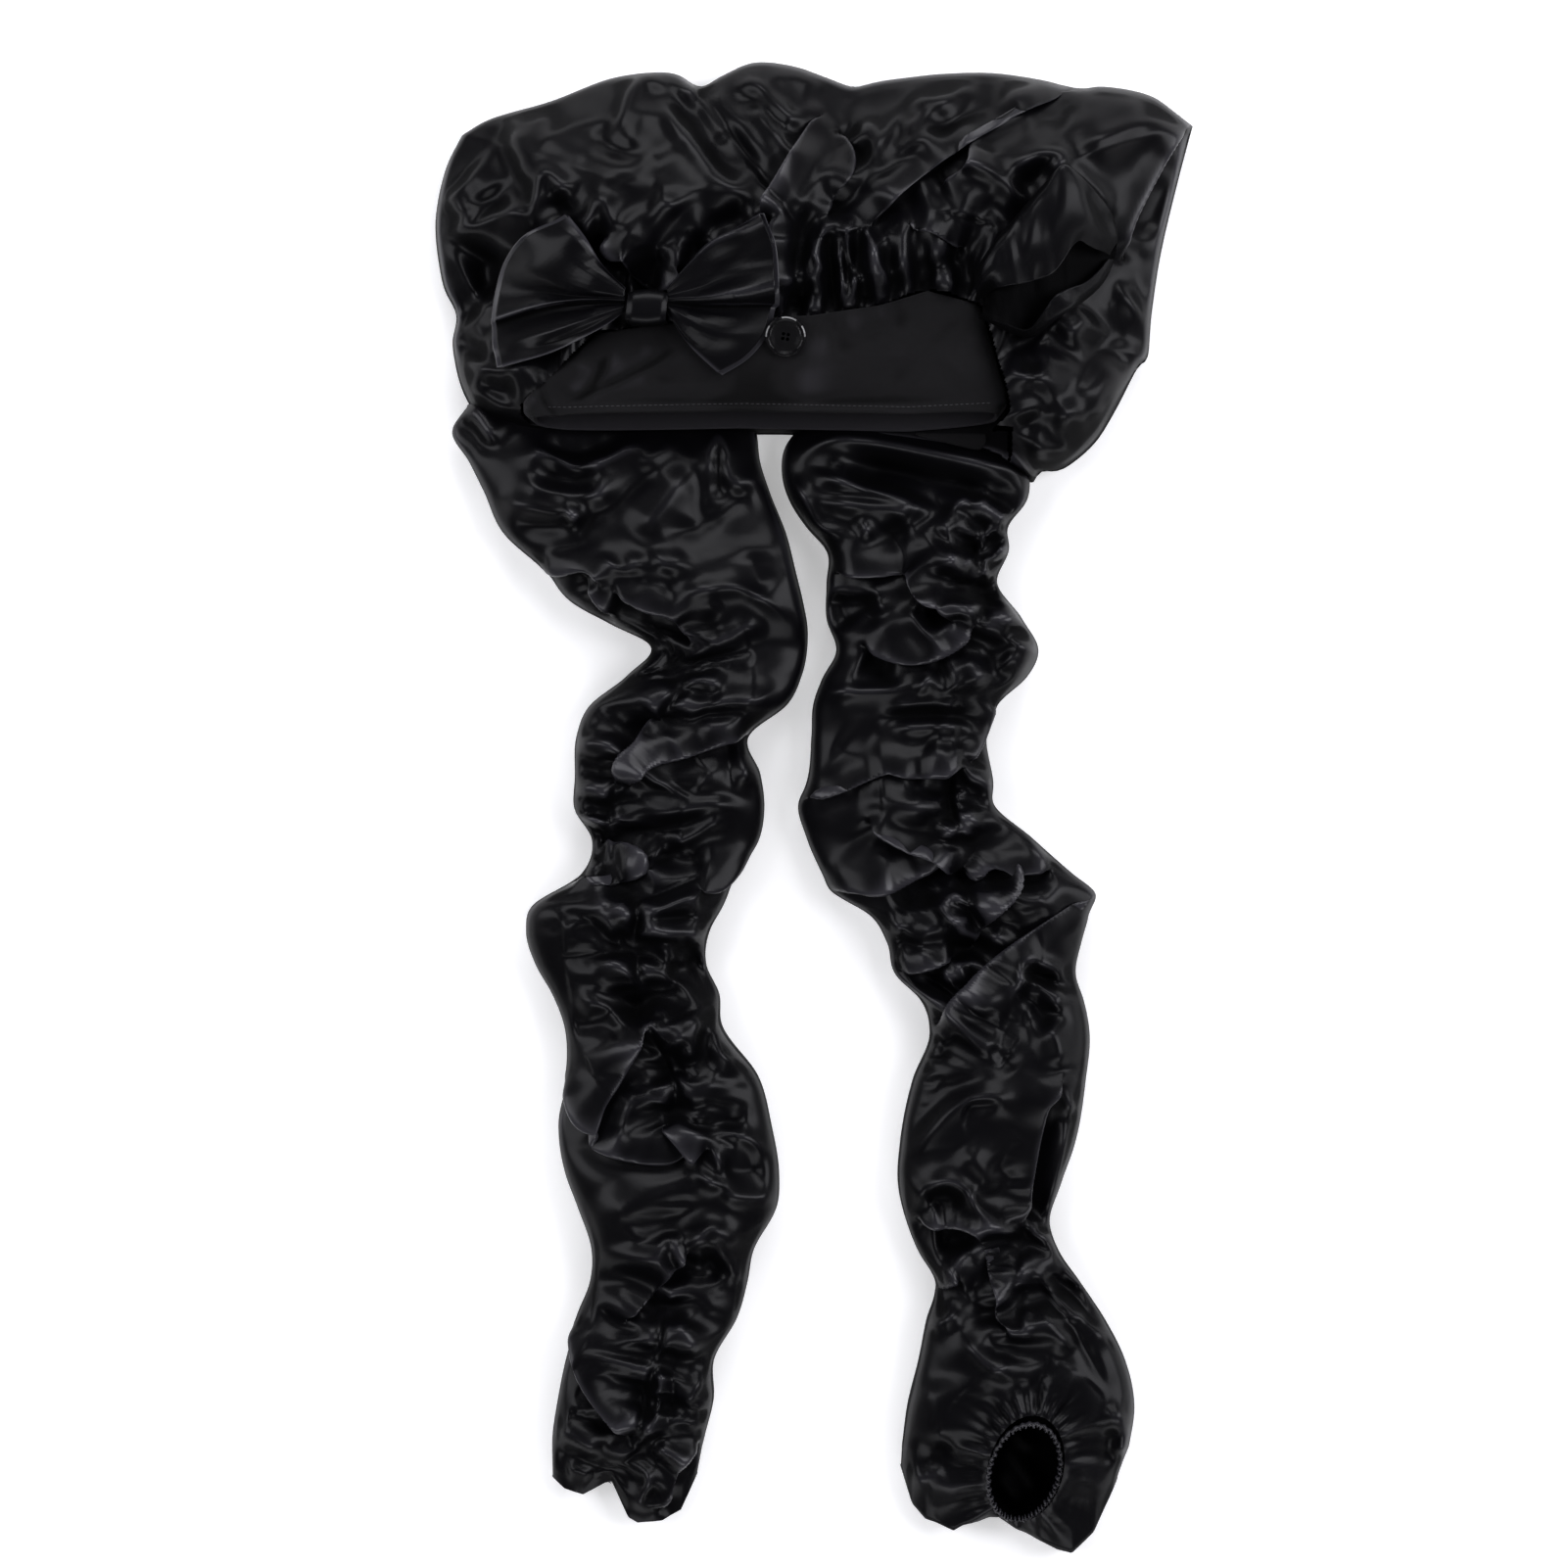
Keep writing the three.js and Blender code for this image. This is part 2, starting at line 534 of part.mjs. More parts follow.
// ---------------------------------------------------------------- gathered hems
const HEM_SIDES = 6;
const HEM_STEPS = 36;
const OPENING_HEM = { depth: 1.4 * HEM_WALL, rise: 1.8 * HEM_WALL }; // its oval section
const MOUTH_HEM_BODY = [0.35, 0.6, 0.85]; // shares of the way from the last section to the mouth
const MOUTH_HEM_HOLLOW = [0.2, 0.6, 1];

/** Puts a piece made flat about the origin into the right sleeve's opening. */
function placedInOpening(geometry) {
  const { x, y, height, slope, turn } = RIGHT_OPENING;
  return geometry
    .rotateZ(THREE.MathUtils.degToRad(turn))
    .rotateX(THREE.MathUtils.degToRad(slope))
    .translate(x, y, height);
}

/** The disc that the right opening takes out of the sleeve's upper wall. */
function openingDisc(clearance) {
  const { halfWidth, halfLength } = RIGHT_OPENING;
  const disc = new THREE.CylinderGeometry(1, 1, OPENING_CUT, HEM_STEPS).rotateX(Math.PI / 2);
  disc.scale(halfWidth + clearance, halfLength + clearance, 1);
  return solidOf(placedInOpening(disc));
}

/** The elastic hem round the right opening: a ring with an oval section. */
function openingHem() {
  const { halfWidth, halfLength } = RIGHT_OPENING;
  const rings = Array.from({ length: HEM_STEPS }, (_, i) => {
    const angle = (2 * Math.PI * i) / HEM_STEPS;
    return Array.from({ length: HEM_SIDES }, (__, k) => {
      const turn = (2 * Math.PI * k) / HEM_SIDES;
      const inwards = OPENING_HEM.depth * (Math.cos(turn) - 1);
      return new THREE.Vector3(
        (halfWidth + inwards) * Math.sin(angle),
        (halfLength + inwards) * Math.cos(angle),
        OPENING_HEM.rise * Math.sin(turn),
      );
    });
  });
  return solidOf(placedInOpening(ringLoft(rings)));
}

/** A closed ring through sections that come back to the first one. */
function ringLoft(rings) {
  const count = rings[0].length;
  const points = rings.flat();
  const faces = [];
  rings.forEach((_, r) => {
    const next = (r + 1) % rings.length;
    for (let i = 0; i < count; i += 1) {
      const [a, b] = [r * count + i, r * count + (i + 1) % count];
      const [c, d] = [next * count + (i + 1) % count, next * count + i];
      faces.push(a, b, c, a, c, d);
    }
  });
  return bodyOf(points, faces);
}

/** The elastic hem inside the left sleeve's mouth. */
function mouthHem(sleeve) {
  const between = (depth, shares) => {
    const [last, mouth] = sleeveRings({ ...sleeve, endClosed: true }, depth).slice(-2);
    return solidOf(loft(shares.map((share) => last.map((p, i) => p.clone().lerp(mouth[i], share)))));
  };
  const outside = WALL + 3 * GAP;
  return between(outside, MOUTH_HEM_BODY).subtract(between(outside + HEM_WALL, MOUTH_HEM_HOLLOW));
}

// ---------------------------------------------------------------- build
const LEFT = {
  sections: LEFT_SECTIONS, mouth: LEFT_MOUTH, mouthHeight: 15, endClosed: false, folds: LEFT_FOLDS,
};
const RIGHT = {
  sections: RIGHT_SECTIONS, mouth: RIGHT_MOUTH, mouthHeight: 17, endClosed: true, folds: RIGHT_FOLDS,
};
const leftSleeve = sleeveSolid(LEFT, 0).subtract(sleeveSolid(LEFT, WALL));
const rightSleeve = sleeveSolid(RIGHT, 0).subtract(sleeveSolid(RIGHT, WALL)).subtract(openingDisc(GAP));

const pillow = crownPillow();
const bandInside = solidOf(loft(bandRings(BAND_WALL)));
const headband = solidOf(loft(bandRings(0))).subtract(bandInside);

const crownOutside = solidOf(pillow).subtract(bandRoom(GAP));
const crownInside = solidOf(inset(pillow, WALL)).subtract(bandRoom(GAP + WALL));
const crown = crownOutside
  .subtract(crownInside)
  .subtract(bandInside)
  .subtract(solidOf(loft(bandRings(-GAP))))
  .subtract(sleeveSolid(LEFT, -GAP))
  .subtract(sleeveSolid(RIGHT, -GAP));

const surfaceHeight = heightOver([geometryOf(crown), geometryOf(headband)]);

const group = new THREE.Group();
const FINISHES = {
  satin: { color: 0x141416, roughness: 0.38, metalness: 0 },
  jersey: { color: 0x1b1a1c, roughness: 0.9, metalness: 0 },
  button: { color: 0x0c0c0d, roughness: 0.25, metalness: 0 },
};

function add(name, solid, finish) {
  const mesh = new THREE.Mesh(geometryOf(solid), new THREE.MeshStandardMaterial(FINISHES[finish]));
  mesh.name = name;
  group.add(mesh);
}

/** The knot: a short barrel of satin across the waist of the bow. */
function bowKnot() {
  const { left, right, bottom, top, height, bed, roundness } = KNOT;
  const rounded = (value) => Math.sign(value) * Math.abs(value) ** roundness;
  return solidOf(loft(KNOT_FULLNESS.map(({ share, size }) => {
    const half = (size * (top - bottom)) / 2;
    return Array.from({ length: KNOT_POINTS }, (_, i) => {
      const angle = (2 * Math.PI * i) / KNOT_POINTS;
      const rise = Math.sin(angle) >= 0 ? size * height - bed : bed;
      return new THREE.Vector3(
        lerp(left, right, share),
        (top + bottom) / 2 + half * rounded(Math.cos(angle)),
        BAND_TOP + bed + rise * rounded(Math.sin(angle)),
      );
    });
  })));
}

/** A round button with a raised rim, a dished face and four sewing holes. */
function button() {
  const profile = BUTTON_PROFILE.map(
    ({ fromRim, height }) => new THREE.Vector2(BUTTON_RADIUS - fromRim, height),
  );
  let solid = solidOf(new THREE.LatheGeometry(profile, BUTTON_STEPS).rotateX(Math.PI / 2));
  const { count, radius, offset, turn } = BUTTON_HOLE;
  for (let i = 0; i < count; i += 1) {
    const angle = (2 * Math.PI * i) / count + THREE.MathUtils.degToRad(turn);
    const hole = new THREE.CylinderGeometry(radius, radius, 3 * BUTTON_THICKNESS, HOLE_STEPS);
    hole.rotateX(Math.PI / 2).translate(offset * Math.cos(angle), offset * Math.sin(angle), 0);
    solid = solid.subtract(solidOf(hole));
  }
  const geometry = geometryOf(solid).rotateX(THREE.MathUtils.degToRad(BUTTON_TILT));
  return solidOf(geometry.translate(BUTTON_CENTRE.x, BUTTON_CENTRE.y, BAND_TOP + BUTTON_RADIUS));
}

add('crown', crown, 'satin');
add('headband', headband, 'jersey');
add('sleeve_left', leftSleeve, 'satin');
add('sleeve_right', rightSleeve, 'satin');
add('bow_knot', seated(bowKnot()), 'satin');
add('bow_wing_left', seated(fan(LEFT_WING)), 'satin');
add('bow_wing_right', seated(fan(RIGHT_WING)), 'satin');
add('side_loop', seated(fan(LOOP_RIBS).subtract(fan(LOOP_RIBS.slice(1, -1), LOOP_WALL))), 'satin');
add('hem_left', mouthHem(LEFT), 'satin');
add('hem_right', openingHem(), 'satin');
add('lining_corner', block(TAB_CORNERS, BAND_BOTTOM, BAND_BOTTOM + TAB_THICKNESS), 'satin');
add('button', seated(button()), 'button');

export default group;
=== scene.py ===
# %% [markdown]
# # A satin braid bonnet
# This lesson makes the looks of a long satin sleep bonnet that lies flat on its back: a puffed crown, a wide
# jersey headband, a satin bow and a button on the band, a flared loop at its right end, and two long sleeves
# for braids. Such cloth could be sculpted, or dropped by a simulation. Here each fold is written down as a
# line, because a written fold can be read, moved and made again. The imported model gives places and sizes.

# %% The frame
import math
import bmesh
import bpy
import numpy as np
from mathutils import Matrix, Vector
from mathutils.bvhtree import BVHTree


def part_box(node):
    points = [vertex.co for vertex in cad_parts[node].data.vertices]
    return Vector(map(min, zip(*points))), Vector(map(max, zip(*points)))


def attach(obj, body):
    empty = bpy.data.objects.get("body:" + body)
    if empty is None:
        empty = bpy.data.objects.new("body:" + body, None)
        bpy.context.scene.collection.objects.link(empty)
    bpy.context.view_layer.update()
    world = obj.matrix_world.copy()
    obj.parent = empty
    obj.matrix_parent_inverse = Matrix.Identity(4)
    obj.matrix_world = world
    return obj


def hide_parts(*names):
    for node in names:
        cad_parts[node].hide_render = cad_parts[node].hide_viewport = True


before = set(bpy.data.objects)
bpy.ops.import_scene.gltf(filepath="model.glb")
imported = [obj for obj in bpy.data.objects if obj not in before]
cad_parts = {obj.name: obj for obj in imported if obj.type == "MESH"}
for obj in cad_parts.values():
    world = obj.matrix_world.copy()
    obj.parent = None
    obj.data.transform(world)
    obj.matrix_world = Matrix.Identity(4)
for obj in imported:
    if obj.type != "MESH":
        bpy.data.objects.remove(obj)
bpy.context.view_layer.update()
MM = 0.001
print("nodes:", sorted(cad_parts))

# %% [markdown]
# ## Lines on the cloth
# Satin shows its shape through its folds, and a fold is a line with a width and a height. It could be a curve
# object, but thousands of cloth points are compared with hundreds of folds, and arrays do that quickly. These
# helpers make a smooth line of a few points in millimetres, seen from above, and tell how far each point of
# the cloth lies from it, on which side, and how far along.

# %% Smooth lines and distances
LINE_STEP = 2.5


def smooth(points, step=LINE_STEP):
    """A Catmull-Rom line through the points, with a point about every step millimetres."""
    p = np.asarray(points, float)
    if p.ndim == 1:  # a fold is written as its start, and then the step to each next point
        p = np.cumsum(p.reshape(-1, 2), 0)
    ends = np.vstack([2 * p[0] - p[1], p, 2 * p[-1] - p[-2]])
    out = []
    for a, b, c, d in zip(ends, ends[1:], ends[2:], ends[3:]):
        count = max(2, int(np.linalg.norm(c - b) / step))
        t = (np.arange(count) / count)[:, None]
        bend, twist = 2 * a - 5 * b + 4 * c - d, 3 * b - a - 3 * c + d
        out.append(0.5 * (2 * b + (c - a) * t + bend * t**2 + twist * t**3))
    return np.vstack(out + [p[-1:]])


def spaced(points, count):
    """The same line with count points at equal distances."""
    line = smooth(points)
    run = np.concatenate([[0], np.cumsum(np.linalg.norm(np.diff(line, axis=0), axis=1))])
    at = np.linspace(0, run[-1], count)
    return np.stack([np.interp(at, run, line[:, k]) for k in range(line.shape[1])], 1)


def beside(line, xy, reach):
    """The points within reach of a line: their index, signed distance (left is positive), how far along they
    lie from 0 to 1, the unit vector that points left, and the line's length."""
    low, high = line.min(0) - reach, line.max(0) + reach
    near = np.flatnonzero(((xy > low) & (xy < high)).all(1))
    q = xy[near]
    best = np.full(len(q), np.inf)
    gap, along, left = np.zeros(len(q)), np.zeros(len(q)), np.zeros((len(q), 2))
    steps = np.diff(line, axis=0)
    lengths = np.hypot(*steps.T)
    before = np.concatenate([[0], np.cumsum(lengths)])
    course = np.gradient(line, axis=0)
    lefts = np.column_stack([-course[:, 1], course[:, 0]])
    lefts /= np.maximum(np.hypot(*lefts.T), 1e-9)[:, None]
    for a, step, length, start, left_a, left_b in zip(line, steps, lengths, before, lefts, lefts[1:]):
        if length < 1e-6:
            continue
        t = np.clip((q - a) @ step / length**2, 0, 1)
        off = q - a - t[:, None] * step
        far = np.hypot(*off.T)
        hit = far < best
        best[hit] = far[hit]
        normal = np.array([-step[1], step[0]]) / length
        gap[hit] = np.where(off[hit] @ normal >= 0, far[hit], -far[hit])
        along[hit] = (start + t[hit] * length) / before[-1]
        left[hit] = left_a + t[hit, None] * (left_b - left_a)
    keep = best < reach
    return near[keep], gap[keep], along[keep], left[keep], before[-1]


def ease(x):
    """A soft step from 0 to 1."""
    x = np.clip(x, 0, 1)
    return x * x * (3 - 2 * x)


# %% [markdown]
# ## Folds
# Loose satin has soft ridges, hollows, crisp laps and gathers. A sculpting brush could draw them, but nobody
# could say afterwards what it did. So there are three kinds of written fold. A ridge lifts the cloth along
# its line, or sinks it as a tuck. A lap pushes the cloth on the line's left over that on its right, so that a
# crisp edge stands over a dark gap. A gather runs pleats out from a sewn line.

# %% Ridges, tucks and laps
FOLD_BREADTH = 1.5  # satin folds softly, so each fold is a little broader than its drawn line
GATHER_LAYERS = ((0.4, 1.0, 0.4), (0.8, 2.2, 0.9), (0.7, 4.3, 1.5))  # share of height, of pleat, of reach
GATHER_ENDS = 0.06  # the share of a gather's length over which its pleats start and stop


class Cloth:
    """Points of a cloth before folding, with the moves that its folds add up to."""

    def __init__(self, points, free):
        self.base = np.asarray(points, float)
        self.free = free
        self.move = np.zeros_like(self.base)

    def ridge(self, path, height, width, sharp=1.15, fade=0.3):
        """A raised fold, or a tuck where the height is negative."""
        width *= FOLD_BREADTH
        at, gap, along, _, _ = beside(smooth(path), self.base[:, :2], 3 * width)
        ends = ease(along / fade) * ease((1 - along) / fade)
        self.move[at, 2] += height * ends * self.free[at] * np.exp(-np.abs(gap / width) ** sharp)

    def lap(self, path, over, rise, width=3.0, fade=0.15, spread=4.0):
        """The left side laps over the right side by about over millimetres."""
        at, gap, along, left, _ = beside(smooth(path), self.base[:, :2], 2.2 * spread * width)
        ends = ease(along / fade) * ease((1 - along) / fade) * self.free[at]
        s = gap / width
        reach = over / 2 + width
        push = -reach * ends * s * np.exp((1 - s * s) / 2)
        self.move[at, :2] += push[:, None] * left
        self.move[at, 2] += rise * ends * np.tanh(1.6 * s) * np.exp(-(s / spread) ** 2)

    def gather(self, path, rng, height, reach, pleat, depth):
        """Pleats that run out from a line of gathers on both sides, with the line itself drawn in."""
        line = smooth(path)
        at, gap, along, left, length = beside(line, self.base[:, :2], 2.5 * reach)
        run = along * length
        ends = ease(along / GATHER_ENDS) * ease((1 - along) / GATHER_ENDS) * self.free[at]
        side = gap >= 0
        lift = np.zeros(len(at))
        for part, period, far in GATHER_LAYERS:
            count = max(2, int(length / (period * pleat)))
            for half in (side, ~side):
                knots = np.sort(rng.uniform(0, 1, count)) * length
                phase = np.interp(run, np.r_[0, knots, length], np.arange(count + 2) * math.pi)
                lean = rng.uniform(-0.35, 0.35)
                wave = np.sin(phase + lean * np.abs(gap) / reach)
                wave = np.sign(wave) * np.abs(wave) ** 0.8
                near = np.abs(gap) / (far * reach)
                lift += np.where(half, part * wave * near * np.exp(1 - near) * ease(2 - near / 2), 0)
        self.move[at, 2] += height * ends * lift - depth * ends * np.exp(-np.abs(gap / (0.3 * reach)) ** 1.3)

    def points(self):
        return self.base + self.move


# %% [markdown]
# ## Unevenness
# Between its folds satin is never quite even. A Displace modifier could do this, but the height is needed
# before the cloth buckles. A lattice of random values gives soft waves, and the same values folded about zero
# give short creases. Each seed is fixed.

# %% Waves and crumples
def waves(xy, cell, seed):
    """Smooth noise between -1 and 1 with bumps about cell millimetres wide."""
    rng = np.random.default_rng(seed)
    turn = rng.uniform(0, math.pi)
    p = xy @ np.array([[math.cos(turn), -math.sin(turn)], [math.sin(turn), math.cos(turn)]]) / cell + 500
    whole = np.floor(p).astype(int)
    f = p - whole
    f = f**3 * (f * (6 * f - 15) + 10)
    values = rng.uniform(-1, 1, (64, 64))
    pick = lambda dx, dy: values[(whole[:, 0] + dx) % 64, (whole[:, 1] + dy) % 64]
    low = pick(0, 0) * (1 - f[:, 0]) + pick(1, 0) * f[:, 0]
    high = pick(0, 1) * (1 - f[:, 0]) + pick(1, 1) * f[:, 0]
    return low * (1 - f[:, 1]) + high * f[:, 1]


def crumples(xy, cell, seed):
    """Short sharp creases: noise folded about zero."""
    folded = np.sqrt(waves(xy, cell, seed) ** 2 + 0.012)
    return 1 - 2.2 * folded + 0.35 * waves(xy, 0.45 * cell, seed + 1)


# %% [markdown]
# ## From numbers to meshes
# A piece of cloth starts as a grid of points. bmesh could build it face by face, but foreach_set takes whole
# arrays at once. The UV map holds metres on the flat cloth, so that one weave fits every piece.

# %% Mesh makers
def grid_faces(rows, columns, start=0, closed=False):
    """Quads of a grid stored row by row. A closed grid joins its last column to its first."""
    i, j = np.meshgrid(np.arange(rows - 1), np.arange(columns - (0 if closed else 1)), indexing="ij")
    k = (j + 1) % columns
    quads = [i * columns + j, (i + 1) * columns + j, (i + 1) * columns + k, i * columns + k]
    return start + np.stack([q.ravel() for q in quads], 1)


def cloth_mesh(name, points_mm, quads, uv_m, material):
    """A smooth object from points in millimetres. uv_m holds one pair for each corner of each quad."""
    mesh = bpy.data.meshes.new(name)
    mesh.vertices.add(len(points_mm))
    mesh.vertices.foreach_set("co", (np.asarray(points_mm, np.float64) * MM).ravel())
    mesh.loops.add(quads.size)
    mesh.loops.foreach_set("vertex_index", quads.ravel())
    mesh.polygons.add(len(quads))
    mesh.polygons.foreach_set("loop_start", np.arange(0, quads.size, 4))
    mesh.polygons.foreach_set("use_smooth", np.ones(len(quads), bool))
    mesh.uv_layers.new(name="UVMap").data.foreach_set("uv", np.asarray(uv_m, np.float64).ravel())
    mesh.update(calc_edges=True)
    mesh.validate()
    piece = bpy.data.objects.new(name, mesh)
    bpy.context.scene.collection.objects.link(piece)
    mesh.materials.append(material)
    return piece


def outwards(piece, away_from):
    """Turns every face if most of them look towards the point, which is given in metres."""
    mesh = piece.data
    centres, normals = np.zeros(3 * len(mesh.polygons)), np.zeros(3 * len(mesh.polygons))
    mesh.polygons.foreach_get("center", centres)
    mesh.polygons.foreach_get("normal", normals)
    facing = (normals.reshape(-1, 3) * (centres.reshape(-1, 3) - away_from)).sum(1)
    if np.median(facing) < 0:
        mesh.flip_normals()
    return piece


def stand_in(piece, node):
    """Puts a finished piece on the root body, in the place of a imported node."""
    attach(piece, "root")
    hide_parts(node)
    print(piece.name, "takes the place of", node, "with", len(piece.data.polygons), "faces")


def relax(points, rows, columns, times, closed=False):
    """Moves each point of a grid half way to the mean of its four neighbours."""
    g = points.reshape(rows, columns, 3)
    for _ in range(times):
        around = g.copy()
        if closed:
            sides = (np.roll(g, 1, 1) + np.roll(g, -1, 1)) / 2
        else:
            sides = g.copy()
            sides[:, 1:-1] = (g[:, :-2] + g[:, 2:]) / 2
        around[1:-1] = (g[:-2] + g[2:]) / 4 + sides[1:-1] / 2
        if not closed:
            around[:, 0], around[:, -1] = g[:, 0], g[:, -1]
        around[0], around[-1] = g[0], g[-1]
        g = g + 0.5 * (around - g)
    return g.reshape(-1, 3)


# %% [markdown]
# ## Let the cloth buckle
# Drawn folds are only a start: sewn satin has more length than its place allows, most of all beside the
# gathers, and buckles. Blender's Cloth modifier crinkles so fine a grid too finely. So a small solver pulls
# the cloth's lengths right, resists bending, and holds each point near its start. It works on every second
# point of the grid, and spreads the moves to all. It doesn't keep cloth from crossing cloth.

# %% The links of the cloth, and how it is held
LINKS = (  # rows down, columns along, strength: threads, diagonals, and longer links that resist bending
    (1, 0, 1.0), (0, 1, 1.0), (1, 1, 0.3), (1, -1, 0.3), (2, 0, 0.3), (0, 2, 0.3), (4, 0, 0.18), (0, 4, 0.18),
)
STEPS = 150
KEPT_SPEED = 0.92
TAKEN_SPEED = 0.6  # how much of a step's real move becomes speed
HOLD_SIDEWAYS, HOLD_UPWARDS = 0.10, 0.010
SEWN_REACH, SEWN_FREEDOM = 5.0, 0.2  # millimetres beside a gather line, and how free the line itself stays


def spread(coarse, rows, columns, closed):
    """Values on every second point of a grid, spread to the whole grid."""
    tall = np.zeros((rows, *coarse.shape[1:]))
    tall[::2] = coarse
    odd = np.arange(1, rows, 2)
    tall[odd] = (tall[odd - 1] + tall[np.minimum(odd + 1, 2 * (len(coarse) - 1))]) / 2
    wide = np.zeros((rows, columns, *coarse.shape[2:]))
    wide[:, ::2] = tall
    odd = np.arange(1, columns, 2)
    after = (odd + 1) % columns if closed else np.minimum(odd + 1, 2 * (coarse.shape[1] - 1))
    wide[:, odd] = (wide[:, odd - 1] + wide[:, after]) / 2
    return wide


def cloth_links(start, extra, closed):
    """The links of a grid: how far down and along they reach, their strength and their length at rest."""
    links = []
    for down, along, strength in LINKS:
        a, b = start[:len(start) - down], np.roll(start, -along, 1)[down:]
        share = (extra[:len(start) - down] + np.roll(extra, -along, 1)[down:]) / 2
        longer = (down**2 * share[..., 0] + along**2 * share[..., 1]) / (down**2 + along**2)
        use = np.full(a.shape[:2], strength / 4)
        if not closed and along > 0:
            use[:, -along:] = 0
        elif not closed and along < 0:
            use[:, :-along] = 0
        links.append((down, along, use, np.linalg.norm(b - a, axis=2) * (1 + longer)))
    return links


# %% Let a grid buckle
def buckle(points, free, shape, extra, closed=False):
    """Lets a grid of cloth buckle. extra is the share of length added down the columns and along the rows."""
    rows, columns = shape
    start = points.reshape(rows, columns, 3)[::2, ::2]
    loose = free.reshape(rows, columns)[::2, ::2, None]
    links = cloth_links(start, (extra * free[:, None]).reshape(rows, columns, 2)[::2, ::2], closed)
    x, speed = start.copy(), np.zeros_like(start)
    for _ in range(STEPS):
        speed *= KEPT_SPEED
        x = x + loose * speed
        before = x
        for down, along, strength, rest in links * 2:
            d = np.roll(x, -along, 1)[down:] - x[:len(x) - down]
            length = np.linalg.norm(d, axis=2)
            pull = (strength * (length - rest) / np.maximum(length, 1e-6))[..., None] * d
            push = np.zeros_like(x)
            push[down:] = -pull
            push = np.roll(push, along, 1)
            push[:len(x) - down] += pull
            x = x + loose * push
        x[..., :2] += HOLD_SIDEWAYS * (start[..., :2] - x[..., :2])
        x[..., 2] += HOLD_UPWARDS * (start[..., 2] - x[..., 2])
        speed = speed + TAKEN_SPEED * (x - before - speed)
    return (points.reshape(rows, columns, 3) + spread(x - start, rows, columns, closed)).reshape(-1, 3)


def extra_length(base, gathers, way, most, reach, everywhere):
    """The share of extra length: a little everywhere, and more one way (0 down, 1 along) near the gathers."""
    extra = np.tile(everywhere, (len(base), 1)).astype(float)
    for path in gathers:
        at, gap, *_ = beside(smooth(path), base[:, :2], 3 * reach)
        extra[at, way] = np.maximum(extra[at, way], most * np.exp(-np.abs(gap) / reach))
    return extra


def stitched(base, free, gathers):
    """How freely each point moves once the gathers are sewn: little on the gather lines."""
    loose = free.copy()
    for path in gathers:
        at, gap, *_ = beside(smooth(path), base[:, :2], SEWN_REACH)
        loose[at] *= SEWN_FREEDOM + (1 - SEWN_FREEDOM) * ease(np.abs(gap) / SEWN_REACH)
    return loose


# %% [markdown]
# ## Crests and hollows
# The crest of a fold turns through every direction, so it finds a light and shows as a bright line, while a
# hollow sees only black cloth. The lights alone show too little of this on so dark a satin. So each point is
# compared with a smoothed copy of the cloth, and the result is an attribute that the materials read: 0.5 on
# flat cloth, more on a crest, less in a hollow. A turned edge counts as a crest. The materials paint light
# and
# shade from it: a highlight on crests and turned edges, and shade in hollows and on steep flanks.

# %% Crests and hollows as an attribute, for painted highlight and shade
# Painted shade on steep flanks, and a painted highlight on turned edges:
FLANK_FROM, FLANK_TO = 0.82, 0.42  # upward parts of a normal: a steep flank mostly faces other black cloth
FLANK_SHADE, FLANK_FADE = 0.4, 0.35
RIM_FROM = 0.55  # an edge turns through upright, where its threads catch the light


def mark_fold_light_and_shade(piece, passes=20, full_mm=3.2, rim=0.9):
    """Stores the attribute fold for painted light and shade: over 0.5 on a crest (painted highlight), under
    0.5 in a hollow and on a steep flank (painted shade), and rim on a turned edge (painted highlight).
    """
    mesh = piece.data
    count = len(mesh.vertices)
    where, normal = np.zeros(3 * count), np.zeros(3 * count)
    mesh.vertices.foreach_get("co", where)
    mesh.vertices.foreach_get("normal", normal)
    where, normal = where.reshape(-1, 3) / MM, normal.reshape(-1, 3)
    ends = np.zeros(2 * len(mesh.edges), np.int64)
    mesh.edges.foreach_get("vertices", ends)
    a, b = ends.reshape(-1, 2).T
    valence = np.maximum(np.bincount(np.r_[a, b], minlength=count), 1)[:, None]
    mean_of = lambda v: np.stack([np.bincount(np.r_[a, b], np.r_[v[b, k], v[a, k]], count)
                                  for k in range(v.shape[1])], 1) / valence
    smoothed = where
    for _ in range(passes):
        smoothed = 0.4 * smoothed + 0.6 * mean_of(smoothed)
    proud = ((where - smoothed) * normal).sum(1)[:, None]
    proud = 0.5 * proud + 0.5 * mean_of(proud)
    flank = ease((FLANK_FROM - normal[:, 2]) / (FLANK_FROM - FLANK_TO))
    layer = mesh.attributes.new("fold", "FLOAT", "POINT")
    proud = proud[:, 0] / full_mm
    # Painted shade on steep flanks, and the painted highlight rim where an edge turns through upright:
    shade = FLANK_SHADE * flank * (1 - ease(proud / FLANK_FADE))
    upright = ease(normal[:, 2] / RIM_FROM)
    value = np.clip(0.5 + 0.5 * proud - shade, 0, 1) * upright + rim * (1 - upright)
    layer.data.foreach_set("value", value)
    return piece


# %% [markdown]
# ## Tools for materials
# A material could be put together in the Shader Editor. Written out, it can be built again, and effects that
# two cloths share become node groups with named inputs. These helpers keep that short.

# %% Node helpers
FLOAT, VECTOR, COLOUR = "NodeSocketFloat", "NodeSocketVector", "NodeSocketColor"


def adder(tree):
    """A function that adds a node to the tree, with its properties and then its sockets set."""
    def add(kind, sockets=(), **properties):
        node = tree.nodes.new(kind)
        for name, value in properties.items():
            setattr(node, name, value)
        for socket, value in dict(sockets).items():
            node.inputs[socket].default_value = value
        return node
    return add


